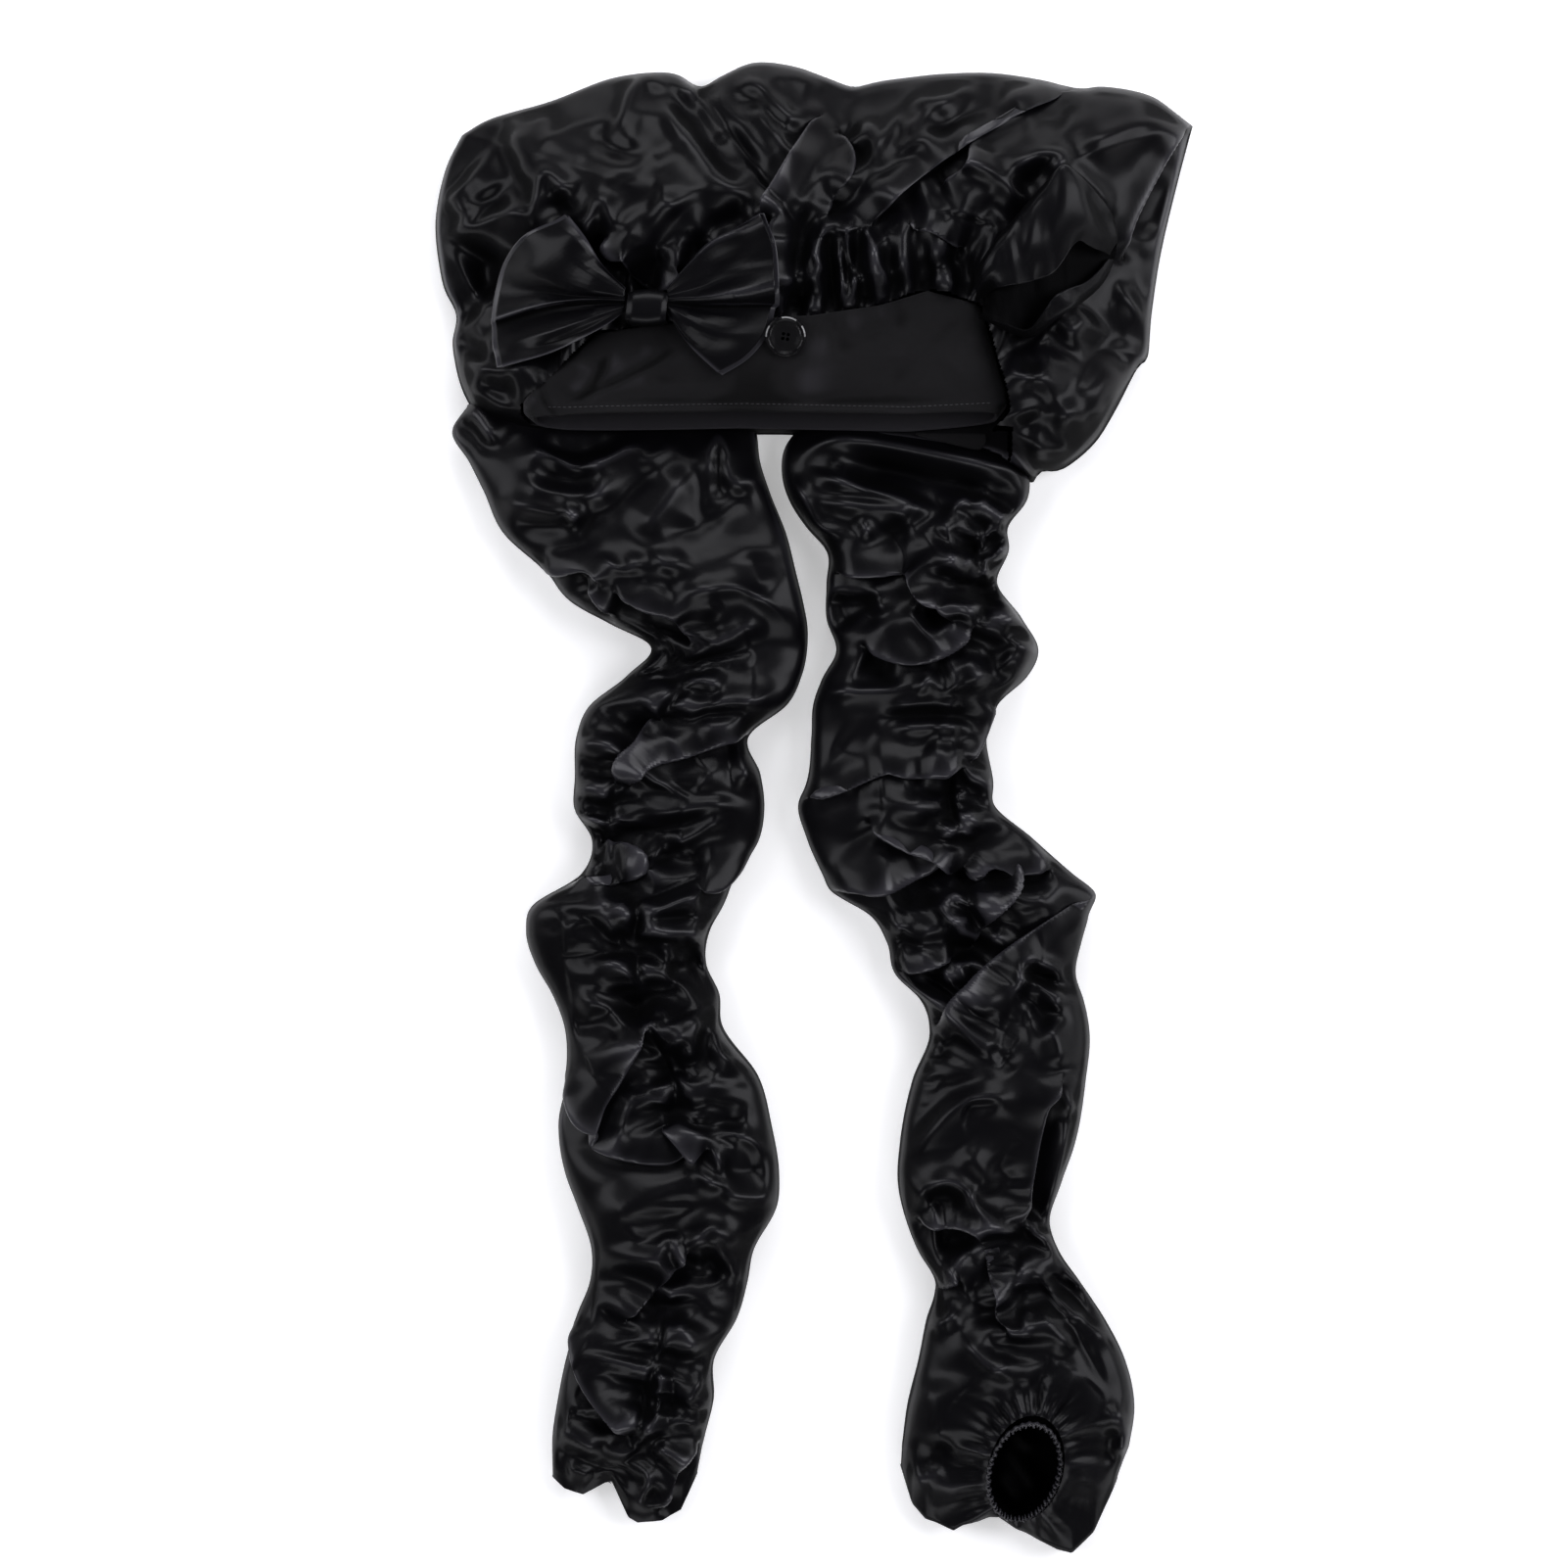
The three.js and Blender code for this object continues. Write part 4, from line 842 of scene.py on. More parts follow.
def sleeve_piece(name, cloth, shape, uv):
    points = relax(cloth.points(), *shape, 1, closed=True)
    upper = cloth.free > 0
    points[upper, 2] = np.maximum(points[upper, 2], CLOTH_ROOM + 2)
    points[:, 2] = np.maximum(points[:, 2], FLOOR_CLEARANCE)
    quads = grid_faces(*shape, closed=True)
    piece = cloth_mesh(name, points, quads, grid_uv(uv, shape[0] - 1, shape[1]), satin)
    return mark_fold_light_and_shade(outwards(piece, points.mean(0) * MM), rim=turned_edge_highlight(cloth.free))


left_cloth = fold_sleeve(left_points, left_free, left_shape, LEFT_RIDGES, LEFT_LAPS, LEFT_GATHERS, seed=4)
left_sleeve = sleeve_piece("left_sleeve_cloth", left_cloth, left_shape, left_uv)
stand_in(left_sleeve, "sleeve_left")

# %% [markdown]
# ## The right sleeve's folds
# The right sleeve starts in a fat roll of cloth below the band. Its gathers pull it into pockets and loops,
# and a layer laps over it from corner to corner. Mirroring the left sleeve would be quicker, but no two
# gathers fall alike, so it has a list of its own.

# %% Folds of the right sleeve, its top
RIGHT_RIDGES = [
    (8, 6, -3, 170, -3, 13, 6, 7, 14, 4, 26, -3, 27, -5, 23, -5, 17, -4, 7, -15),
    (-13, 7.5, 8, 183, 22, -2, 30, -7, 30, -8, 20, -5), (-8, 7, 14, 177, 26, -6, 24, -9, 16, -4),
    (5, 3.6, -4, 179, 9, -4, 15, -5, 15, -4, 10, -3, 10, -5, 13, -4),
    (-4.5, 2.4, -3, 167, 23, -2.5, 20, -3, 12, -3.5), (4, 4, 0, 161, 20, -2, 22, -2, 10, -9, 4, -12),
    (4.5, 3, -13, 178, 8, -15, 5, -11, 6, -6, 9, 0, 7, 4),
    (5, 3, 20, 151, 7, -2, 1, -5, -4, -5, -6, -5, -10, -7), (-5, 2.2, 30, 147, -5, -7.5, -15, -11.5),
    (-8, 9, 38, 152, 8, -16, 10, -12), (4, 7, 56, 150, 8, -14, 10, -14), (-7, 6, 62, 150, 14, -18, 6, -14),
    (6, 5, 72, 158, -1, -13, 2, -15, 9, -10), (5, 4, 70, 154, 8, 6, 6, 6),
    (5, 3, 84, 166, 6, -6, 10, -7, 8, -3), (-6, 4, 90, 166, 10, -6, 10, -4),
    (4, 3, 96, 152, 11, -1, 6, 5, 1, 8), (4.5, 2.6, 76, 137, -1, -7, 4, -3, 5, 3, 4, 4),
    (-6, 3, 80, 134, 3, 2, 4, -1), (4.5, 2.4, 86, 136, 6, 8, 7, 2, 5, -4), (-6, 3, 90, 138, 6, 2, 5, -2),
    (4.5, 2.6, 87, 133, 5, -3, 6, 4, 6, 4), (-6, 3, 91, 126, 6, 2, 6, 3),
    (4.5, 2.4, 88, 128, 3, -4, 7, 1, 6, 3), (-9, 10, 14, 116, 2, -12, 6, -10),
    (-8, 8, 26, 114, 2, -10, 6, -10), (3.5, 4, 32, 118, 3, -10, 3, -8),
    (4, 4, 48, 108, 6, -10, 8, -10, 10, -4), (-7, 5, 60, 102, 6, -2, 2, -5),
    (4.5, 2.6, 48, 125, 6, -11, 7, -3.5, 6, -1, 7, -6, 12, -1, 7, -11.5), (-7, 5, 84, 118, 10, -10, 6, -8),
    (5, 12, 100, 118, 6, -14, 6, -12), (-8, 5, 24, 76, 10, -4, 10, 2),
    (4, 3, 94, 86, 8, 1.5, 8, -2.5, 11, -4), (-4.5, 2.4, 92, 87, 1, -7, 3, -8, 8, -6),
    (4, 6, 100, 82, 10, -6, 6, -4), (4, 5, 78, 82, 6, -8, 6, -12), (4, 2.6, 70, 82, 3, -10, 3, -14),
    (-5, 3, 66, 78, 3, -10, 3, -8), (4.5, 3, 56, 56, 3, 10, 3, 2, 4, -5, 3, -7),
]
print("folds:", len(RIGHT_RIDGES))

# %% Folds of the right sleeve, round its second gather
RIGHT_RIDGES += [
    (4, 3, 0, 59, 20, 2, 24, 1, 12, 0), (-3.5, 3, 16, 66, 20, 0, 14, 2),
    (-7.5, 3.2, 30, 47, 10, 0, 20, 1.5, 20, -1.5, 13, -3), (4, 3, 36, 52, 24, 2, 24, -2),
    (4, 3, 38, 43, 17, -1, 17, 1, 16, -2), (3, 12, 60, 34, 12, -4, 8, 0), (-3.5, 8, 10, 34, 14, -8, 12, -2),
    (3.6, 2.6, -7, 1, 17, 6, 14, 4), (-9, 4.5, 73, 20, 0, -15, 3, -19),
    (-7, 3, 74, -14, 4, -21, 4, -15, 3, -14, -1, -16), (5, 3, 76, 14, 1, -14, 2, -13, -4, -5),
    (4, 2.6, 81, 2, 4, -8, -2, -6), (4, 6, 92, 18, 3, -14, 4, -16), (-4, 6, 86, 14, 2, -12, -2, -10),
    (-5, 7, 48, 14, 12, -1, 10, -3), (3, 8, 24, 4, 16, -2, 16, -2, 14, -2),
    (-5, 4, 34, -6, 14, -7, 14, -5, 10, 2), (4.5, 2.6, 26, -3, 8, -8, 12, -7, 11, -4.5, 8, -0.5, 8, 5),
    (4, 2.4, 66, -10, 6, -2, 4, -4), (3, 14, 24, -14, 12, -12, 14, -6), (-8, 10, 40, -52, 15, 4, 13, 6),
    (4, 3, 66, -44, 1, -10, 7, -5, 10, 1), (4, 2.6, 66, -58, 9, -4, 9, -7),
    (4.5, 2.2, 74, -43, 3, -4, 5, 1, -2, 4), (4.5, 2.2, 82, -46, -1, -5, 3, -2, 1, 4),
    (-6, 3, 72, -50, 6, -3, 6, -3), (-7, 6, 70, -72, 10, -2, 2, 8), (-6, 6, 92, -42, 8, 4, 6, -2),
    (3.5, 2.4, 113, -12, 7, -10, 7, -11), (-5, 4, 108, -42, 10, 2, 10, 4),
    (4, 4, 36, -62, 10, -2, 9, -5, 7, 3, 6, 6), (-4, 4, 42, -66, 8, -7, 8, -3),
    (4, 5, 88, -88, 6, 12, 6, 14), (-4, 5, 84, -84, 6, 14, 2, 12), (3, 10, 104, -60, 14, 6, 16, 4),
]
print("folds:", len(RIGHT_RIDGES))

# %% Folds of the right sleeve, from its middle to its end
RIGHT_RIDGES += [
    (4, 3, 48, -88, 7, -10, 15, -9, 6, 3), (4, 2.6, 70, -84, 3, -8, 5, -9), (4, 2.6, 76, -82, 4, -5, 3, -7),
    (-5, 3.4, 62, -88, 6, -6, 6, -6), (6, 3.6, 102, -106, 4, 8, 3, 8, 1, 6, 4, 3, 7, -2, 8, -4, 9, -8),
    (-8, 3.6, 112, -87, 8, -3, 10, -4), (5, 3, 106, -96, 6, 4, 6, -1, 6, -4, 7, -1),
    (-7, 4, 106, -101, 7, 0, 7, -7, 7, -10), (4, 3, 131, -95, -1, -6, -4, -7),
    (3.5, 5, 120, -112, 8, -10, 4, -18), (-4, 8, 98, -112, 10, -2, 8, 2),
    (-3.5, 5, 48, -182, 9, 16, 13, 14, 15, 6, 13, 3),
    (3.5, 4.5, 54, -190, 6, 15, 15, 17, 15, 6, 9, -2, -3, -6, -12, 2), (-4.5, 3, 92, -125, 7, -6, 8, -9),
    (3, 6, 78, -178, 10, -12, 10, -14), (-3.5, 7, 92, -188, 12, -8, 8, -4),
    (-9, 7, 128, -152, -7, -23, -3, -25, 1, -28), (4.5, 4, 134, -158, -2, -22, -4, -22, -3, -24),
    (4, 3, 131, -138, 3, -12, 4, -16), (-7, 6, 62, -212, 8, 6, 8, -6),
    (6, 3.6, 53, -216, 4, 12, 9, 5.5, 8, 0.5, 7, -5, 5, -8, 6, -6, 8, -3, 14, 6),
    (-8, 7, 64, -232, 12, 1, 12, 3), (5, 4, 66, -256, 9, 13, 8, 8, 7, 0, 6, -12),
    (-4, 6, 82, -248, 6, -14, 2, -14), (3.5, 3, 60, -277, 10, 6, 9, 5),
    (4.5, 4, 78, -276, 8, -12, 11, -7, 5, 11),
    (4, 2.8, 114, -226, -3, -14, -8, -17, 0, -13, 5, -6, 5, 11, 2, 17),
    (5, 3.4, 112, -222, 18, -14, 20, -21, 15, -25), (-9, 6, 120, -241, 18, -18, 16, -22),
    (4.5, 4, 114, -242, 16, -19, 15, -11, 15, -15),
    (-4.5, 2.4, 112, -240, 13, -20, 13, -16, 12, -22, 8, -15), (4, 6, 116, -262, 12, -14, 10, -12),
    (5, 5, 152, -316, 10, -6, 4, -12, -4, -16), (-5, 4, 158, -326, -1, -14, -2, -12),
    (3, 12, 60, -300, 4, -20, 2, -20), (4, 4, 50, -357, 8, 1, 12, 8), (-5, 4, 54, -350, 8, 2, 12, 12),
]
print("folds:", len(RIGHT_RIDGES))

# %% Laps and gathers of the right sleeve
RIGHT_LAPS = [
    (7, 3.4, 2.8, 8, 124, 22, -0.5, 19, 1.5, 4, -8, 4, -7, 5, -3, 5, -1, 4, -7, 5, -5),
    (6, 3.0, 2.8, 24, 87, 16, -8, 13, -2, 13, 3, 12, 7, 8, 10),
    (7, 3.0, 2.8, -8, 3, 22, 7, 16, 7, 10, 3, 10, -2, 21, 1, 12, 3),
    (4, 2.2, 2.4, 83, 22, 5, 9, 5, 11, 6, 12), (7, 3.2, 2.8, 28, -5, 8, -8, 14, -8, 11, -4, 11, -5, 10, -4),
    (6, 3.4, 2.8, 8, -47, 12, 4, 15, -2, 10, 3, 13, 7, 12, 1, 10, -5),
    (6, 3.0, 2.6, 79, -29, 6, -8, 5, 3, 6, 4, 14, -3, 18, 0),
    (5, 2.6, 2.4, 83, -78, 5, 13, 7, 8, 9, 7, 6, 8, 0, 5, -9, 4),
    (7, 3.0, 3.0, 154, -45, -27, -17, -25, -17, -20, -18, -20, -23), (5, 2.6, 2.6, 46, -88, 14, 3, 16, 6),
    (6, 3.0, 2.8, 113, -224, 0, 19, 3, 20, 3, 15, 3, 12, 7, 8, 4, 10),
    (7, 3.4, 2.8, 54, -215, 6, -6, 15, 1, 13, -4, 7, -11, 2, -15, 3, -15, 3, -16),
    (4, 2.2, 2.4, 62, -257, 6, 2, 10, 5),
]
RIGHT_GATHERS = [
    (92, 152, -6, -18, 6, -16, -4, -22), (73, 20, 1, -20, 3, -16, 2, -19, 4, -15, 2, -14, -3, -20),
    (84, -84, -6, -16, -12, -18), (113, -222, -7, -28, 2, -26),
]
print("laps, gathers:", len(RIGHT_LAPS), len(RIGHT_GATHERS))

# %% [markdown]
# ## The right sleeve's opening
# The right sleeve opens upwards, in an oval gathered by elastic. A boolean could cut it, but would break up
# the even grid. So the cloth is puckered round the oval first, and the faces inside it are taken out after.
# The lower layer shows through the opening, so it gets three folds of its own.

# %% The right sleeve's opening
OPENING_CENTRE, OPENING_HALF, OPENING_TURN = (112.5, -350), (20, 30), -12  # millimetres, degrees
OPENING_ROLL = 3.2  # how high the gathered edge stands
PUCKERS = ((27, 3, 19, 5, 1.3), (9, 2, 11, 13, 1.6))  # count, drift, drift's rate, reach, height
MOUTH_FOLDS = [  # of the lower layer
    (11, 5, 98, -336, 8, -12, 8, -10, 10, -14), (8, 4, 104, -330, 8, -8, 10, -8),
    (9, 4.5, 96, -352, 8, -12, 8, -12),
]


def opening_line(grow=0.0, count=160):
    angle = np.linspace(0, 2 * math.pi, count)
    half_width, half_length = OPENING_HALF
    x, y = (half_width + grow) * np.sin(angle), (half_length + grow) * np.cos(angle)
    c, s = math.cos(math.radians(OPENING_TURN)), math.sin(math.radians(OPENING_TURN))
    return np.column_stack([c * x - s * y, s * x + c * y]) + OPENING_CENTRE


def inside(loop, xy):
    """Which points lie inside a closed loop."""
    within = np.zeros(len(xy), bool)
    for (ax, ay), (bx, by) in zip(loop, np.roll(loop, -1, 0)):
        cross = (ay > xy[:, 1]) != (by > xy[:, 1])
        at = ax + (xy[:, 1] - ay) / (by - ay + 1e-12) * (bx - ax)
        within ^= cross & (xy[:, 0] < at)
    return within


right_cloth = fold_sleeve(right_points, right_free, right_shape, RIGHT_RIDGES, RIGHT_LAPS, RIGHT_GATHERS,
                          seed=9)
opening = opening_line()
at, gap, along, _, _ = beside(opening, right_cloth.base[:, :2], 30)
near = np.abs(gap)
lift = OPENING_ROLL * np.exp(-(near / 6) ** 2)
for count, drift, rate, reach, height in PUCKERS:
    wave = np.sin(2 * math.pi * count * along + drift * np.sin(rate * along))
    lift += height * wave * near / reach * np.exp(1 - near / reach)
right_cloth.move[at, 2] += right_cloth.free[at] * lift
under = np.flatnonzero((right_cloth.free == 0) & inside(opening_line(4), right_cloth.base[:, :2]))
for height, width, *path in MOUTH_FOLDS:
    at, gap, along, _, _ = beside(smooth(path), right_cloth.base[under, :2], 3 * width)
    ends = ease(along / 0.3) * ease((1 - along) / 0.3)
    right_cloth.move[under[at], 2] += height * ends * np.exp(-(gap / width) ** 2)
right_sleeve = sleeve_piece("right_sleeve_cloth", right_cloth, right_shape, right_uv)

# %% [markdown]
# A hole along a grid has teeth like a saw, so the points along the cut are first moved onto the oval. The
# sleeve's lower end is taken to be sewn shut. One big face would cover the notch between its lobes, so a
# strip of triangles is laid from its upper edge to its lower edge instead.

# %% Find the faces inside the opening, and round off its edge
mesh = right_sleeve.data
place = np.zeros(3 * len(mesh.vertices))
mesh.vertices.foreach_get("co", place)
place = place.reshape(-1, 3) / MM
corners = np.zeros(len(mesh.loops), int)
mesh.loops.foreach_get("vertex_index", corners)
corners = corners.reshape(-1, 4)
top = (right_cloth.free > 0)[corners].all(1)
cut = top & inside(opening, place[corners].mean(1)[:, :2])
edge_points = np.intersect1d(corners[cut], corners[~cut & top])
for k in edge_points:
    off = np.hypot(*(opening - place[k, :2]).T)
    place[k, :2] = opening[off.argmin()]
mesh.vertices.foreach_set("co", (place * MM).ravel())
print("opening:", int(cut.sum()), "faces and", len(edge_points), "points along its edge")

# %% Take those faces out, and close the sleeve's end
work = bmesh.new()
work.from_mesh(mesh)
work.faces.ensure_lookup_table()
cut_faces = [work.faces[i] for i in np.flatnonzero(cut)]
work.verts.ensure_lookup_table()
uv_layer = work.loops.layers.uv.active
ring = [work.verts[k] for k in range((right_shape[0] - 1) * right_shape[1], right_shape[0] * right_shape[1])]
above = ring[:ACROSS + 1]
below = [above[0]] + ring[:ACROSS:-1] + [above[-1]]
i = j = 0
while i < len(above) - 1 or j < len(below) - 1:
    step_above = j == len(below) - 1 or (i < len(above) - 1 and above[i + 1].co.x <= below[j + 1].co.x)
    ahead = above[i + 1] if step_above else below[j + 1]
    if len({above[i], below[j], ahead}) == 3:
        face = work.faces.new((above[i], below[j], ahead))
        for corner in face.loops:
            corner[uv_layer].uv = corner.vert.co.xz
    i, j = (i + 1, j) if step_above else (i, j + 1)
bmesh.ops.delete(work, geom=cut_faces, context="FACES")
work.to_mesh(mesh)
work.free()
stand_in(right_sleeve, "sleeve_right")

# %% [markdown]
# ## The crown
# The crown is one wide puff of satin, gathered into the band along its lower side. A flattened ball would do
# for a plain puff, but its poles would pinch the folds. So the outline's four sides are written down and
# blended into one even grid. Both cloths share the outline, and both stay open in front, where the sleeves
# and the band come in.

# %% The crown's outline and seam, in millimetres
CROWN_LEFT = [
    (-150, 199), (-166, 203), (-178, 208), (-187, 223), (-192, 246), (-190, 262), (-197, 278), (-201, 304),
    (-200, 322), (-195, 342), (-187, 358),
]
CROWN_TOP = [
    (-187, 358), (-171, 367), (-140, 376), (-109, 388), (-85, 391.5), (-72, 390.5), (-60, 384), (-48, 390),
    (-31, 397), (-10, 395), (10, 388), (22, 384), (36, 387), (55, 389.5), (70, 391), (95, 391.5),
    (120, 388), (143, 383), (154, 384), (170, 382), (183, 378), (194, 370), (203, 363),
]
CROWN_RIGHT = [
    (118, 173), (122, 178), (134, 180), (150, 193), (161, 210), (173, 233), (179, 240), (181, 262),
    (186, 295), (195, 333), (203, 363),
]
CROWN_FRONT = [(-150, 199), (-100, 197), (-24, 199), (10, 197), (60, 191), (95, 186), (108, 178), (118, 173)]
CROWN_CENTRE = (0, 288)
CROWN_EDGE = 11.0
CROWN_HEIGHT = 68.0
DOME_POWER = 3.2
ROLL = 4.0  # the folded rim's radius
BAND_SEAM = [(-114, 248), (-67, 254), (-1, 257), (34, 262), (60, 270), (88, 263)]
BAND_LEFT_SIDE = [(-140, 199), (-151, 204), (-153, 210), (-148, 216), (-138, 224), (-126, 236), (-114, 248)]
BAND_RIGHT_SIDE = [(88, 263), (93, 245), (98, 228), (102, 212), (102, 206), (96, 200)]
BAND_BOTTOM, BAND_TOP = 30.0, 55.0
SEAM_HEIGHT = 52.0
UNDER_BAND = 28.6
print("crown:", CROWN_RIGHT[-1][0] - CROWN_LEFT[7][0], "mm wide")


# %% A grid inside four sides, and how far out each point lies
def blend_sides(left, top, right, front, rows, columns):
    """A grid inside four sides: rows run from the front to the top, columns from left to right."""
    v, u = np.meshgrid(np.linspace(0, 1, rows), np.linspace(0, 1, columns), indexing="ij")
    v, u = v[..., None], u[..., None]
    left, right = spaced(left, rows)[:, None], spaced(right, rows)[:, None]
    top, front = spaced(top, columns)[None], spaced(front, columns)[None]
    corners = ((1 - u) * (1 - v) * front[:, :1] + u * (1 - v) * front[:, -1:]
               + (1 - u) * v * top[:, :1] + u * v * top[:, -1:])
    return (1 - v) * front + v * top + (1 - u) * left + u * right - corners


def crown_share(xy):
    """How far out points lie, 0 at the crown's centre to 1 on its outline, and how far in from that."""
    outline = np.vstack([spaced(CROWN_TOP, 200)[::-1], spaced(CROWN_LEFT, 80)[::-1], spaced(CROWN_FRONT, 150),
                         spaced(CROWN_RIGHT, 80)]) - CROWN_CENTRE
    turn = np.arctan2(outline[:, 1], outline[:, 0])
    order = np.argsort(turn)
    off = xy - CROWN_CENTRE
    reach = np.interp(np.arctan2(off[:, 1], off[:, 0]), turn[order], np.hypot(*outline[order].T),
                      period=2 * math.pi)
    out = np.clip(np.hypot(*off.T) / reach, 0, 1)
    return out, (1 - out) * reach


# %% [markdown]
# The crown stands up as a dome that falls steeply to its rim. It could be sculpted. A formula of how far out
# each point lies gives the dome without bumps, and a few broad swells, each a place, a radius and a height,
# keep it from looking like a cushion.

# %% The crown's upper cloth before its folds
CROWN_ROWS, CROWN_COLUMNS = 205, 360
CROWN_SWELLS = [  # x, y, radius, height
    (-160, 318, 40, 8), (-95, 335, 45, 6), (120, 330, 60, 5), (140, 215, 30, 8), (-175, 235, 22, 6),
    (-87, 272, 24, -14),
]
flat_crown = blend_sides(CROWN_LEFT, CROWN_TOP, CROWN_RIGHT, CROWN_FRONT, CROWN_ROWS, CROWN_COLUMNS)
flat_crown = flat_crown.reshape(-1, 2)
share, inset = crown_share(flat_crown)
dome = np.sqrt(1 - share**DOME_POWER)
round_rim = np.sqrt(1 - (1 - np.clip(inset / ROLL, 0, 1)) ** 2)
slope_in = 1 - (1 - np.clip(inset / 105, 0, 1)) ** 1.5
away_from_front = ease((flat_crown[:, 1] - 216) / 34)
height = CROWN_EDGE + (CROWN_HEIGHT - CROWN_EDGE) * dome
height += away_from_front * (CROWN_EDGE - 3 + 8 * round_rim + 44 * slope_in - height)
for x, y, radius, lift in CROWN_SWELLS:
    height += lift * dome * np.exp(-(np.hypot(flat_crown[:, 0] - x, flat_crown[:, 1] - y) / radius) ** 2)
crown_cloth = Cloth(np.column_stack([flat_crown, height]), ease(dome / 0.55))
print("crown grid:", CROWN_ROWS, "x", CROWN_COLUMNS, "height", round(height.max(), 1), "mm")

# %% [markdown]
# ## The crown's folds
# The crown's folds are long and soft and fan out from the band. They are written like the sleeves' folds,
# from left to right. Noise alone would run in all directions, so the wide waves between the written folds are
# stretched along the same fan.

# %% Folds of the crown's left part
CROWN_RIDGES = [
    (6, 4.5, -107, 340, 6, 16, 4, 16, 5, 12, 4, 4, 8, -6, 8, -8), (4, 5, -99, 342, 5, 16, 4, 14),
    (-6, 9, -90, 372, -10, -20, -8, -16), (6, 4.5, -84, 376, 10, -14, 14, -18, 16, -20, 14, -6),
    (-11, 7, -78, 376, 12, -10, 10, -16, 10, -16, 10, -12),
    (5, 4.5, -62, 386, 12, -14, 10, -12, 10, -14, 10, -14), (3, 4, -72, 376, 6, 4, 8, -2),
    (-5, 8, -50, 356, 10, -12, 12, -12),
    (5, 3.2, -38, 372, 1, 8, 4, 3, 5, -3, 6, -8, 12, -10, 8, 4, 6, -3, 4, -7),
    (-6, 3.2, -34, 380, 6, -8, 6, -8, 8, -12), (5, 5, -36, 374, 10, -12, 12, -16, 8, -10),
    (-4, 5, -14, 358, 6, -8, 4, -8), (3, 12, -26, 384, 18, 2, 14, -6),
    (3, 5, -166, 366, 8, -2, 8, -2, 16, 3), (-5, 3.2, -168, 364, 5, -20, 7, -14, 8, -18, 6, -10),
    (4, 5, -160, 362, 8, -20, 8, -18), (3, 8, -146, 336, 6, 14, 14, 8, 16, 2, 6, -10),
    (5, 4, -200, 304, 12, -1, 10, 3, 18, 5.5, 10, -2.5, 9, -7), (-6, 9, -190, 316, 18, 4, 16, -2),
    (-6, 4, -197, 322, 5, -10, 6, -6), (5, 6, -196, 326, 10, -10, 8, -8), (3, 10, -184, 338, 8, -8, 6, -10),
    (-20, 13, -168, 300, -5, -12, 1, -12, 6, -8), (5, 4, -200, 304, 10, -14, 7, -12, 8, -11, 11, -5),
    (-5, 5, -192, 272, 8, -10, 12, -12, 8, -4), (4, 5, -186, 262, 8, -8, 8, -10, 6, -6),
    (-7, 4, -192, 252, 10, -9, 14, -5), (5, 4.5, -192, 240, 12, -7, 14, -4, 16, 2, 10, 3),
    (-9, 6, -178, 224, 14, -5, 10, 1), (4, 4, -188, 226, 12, -7, 10, -7, 16, -6, 10, -3),
    (-6, 4, -186, 214, 14, -6, 14, -7, 12, -2), (5, 3.2, -148, 300, 5, 28, 4, 3, 5, -4, 7, -11, 1, -10),
    (-9, 5, -134, 322, 4, -10, 1, -8), (5, 3.0, -122, 290, 5, 13, 5, 13, 5, -6, 0, -20),
    (-7, 3, -112, 308, 0, -12, 1, -14), (-8, 5, -121, 300, 5, -12, 6, -12),
    (4, 10, -104, 306, 12, -10, 12, -6), (-4, 18, -92, 338, 8, -14, 6, -14), (4, 6, -84, 318, 8, -3, 6, -7),
    (4.5, 3, -70, 297, -1, -13, -3, -12), (-8, 4, -65, 282, 5, 10, 4, 10),
    (-8, 6, -98, 280, 10, -8, 12, -2), (-10, 5, -60, 300, 16, 6, 14, 3),
]
print("folds:", len(CROWN_RIDGES))

# %% Folds of the crown's middle
CROWN_RIDGES += [
    (6, 7, 4, 362, -8, -16, -8, -20, -6, -20, -1, -22, 2, -20), (4, 4, 16, 350, -6, -14, -12, -16, -8, -20),
    (-11, 4, -2, 316, -2, -14, -4, -16, -4, -14), (5, 3.2, 3, 318, 1, -16, -3, -14, -5, -14, -2, -12),
    (-8, 4, 12, 304, -3, -12, -1, -14, 1, -12), (5, 3, -2, 262, 3, 14, 4, 6, 3, -6, -3, -8, -2, -6),
    (5, 3.4, 22, 310, -6, -18, 0, -16, 4, -14), (-9, 4.4, 12, 288, 0, -12, 0, -12),
    (4.5, 3, 34, 300, -6, -12, -4, -12, 1, -12), (-8, 3.4, 30, 298, -8, -14, -1, -12),
    (5, 3, 46, 312, -8, -16, -8, -14, 4, -10, 8, 6, 4, 6), (-9, 4.4, 40, 276, -2, -6, 2, -6),
    (4.5, 3, 44, 316, 4, -14, -2, -18, 4, -14), (-5, 4, 10, 350, 14, -6, 12, -8),
    (6, 5, 14, 356, 6, -12, -4, -14, -10, -12), (4.5, 3.2, 22, 340, 6, 18, 2, -10, -1, -12),
    (-8, 3.4, 26, 354, -2, -12, -6, -12), (5, 4, 48, 372, -6, -12, -8, -14, -10, -16, -14, -14, -4, -10),
    (-10, 6, 34, 340, -8, -14, -10, -12, -4, -12), (4, 8, 22, 336, 18, -14, -6, -12),
    (-7, 5, 28, 326, 16, 10, 20, 10), (4, 4, 46, 372, 12, 0, 14, 2, 16, 10),
    (-9, 6, 52, 348, 18, 10, 22, 8, 18, 4), (4, 7, 44, 350, 16, 14, 20, 10),
    (4, 5, 40, 348, 8, -3, 10, 5, 12, 7),
]
print("folds:", len(CROWN_RIDGES))

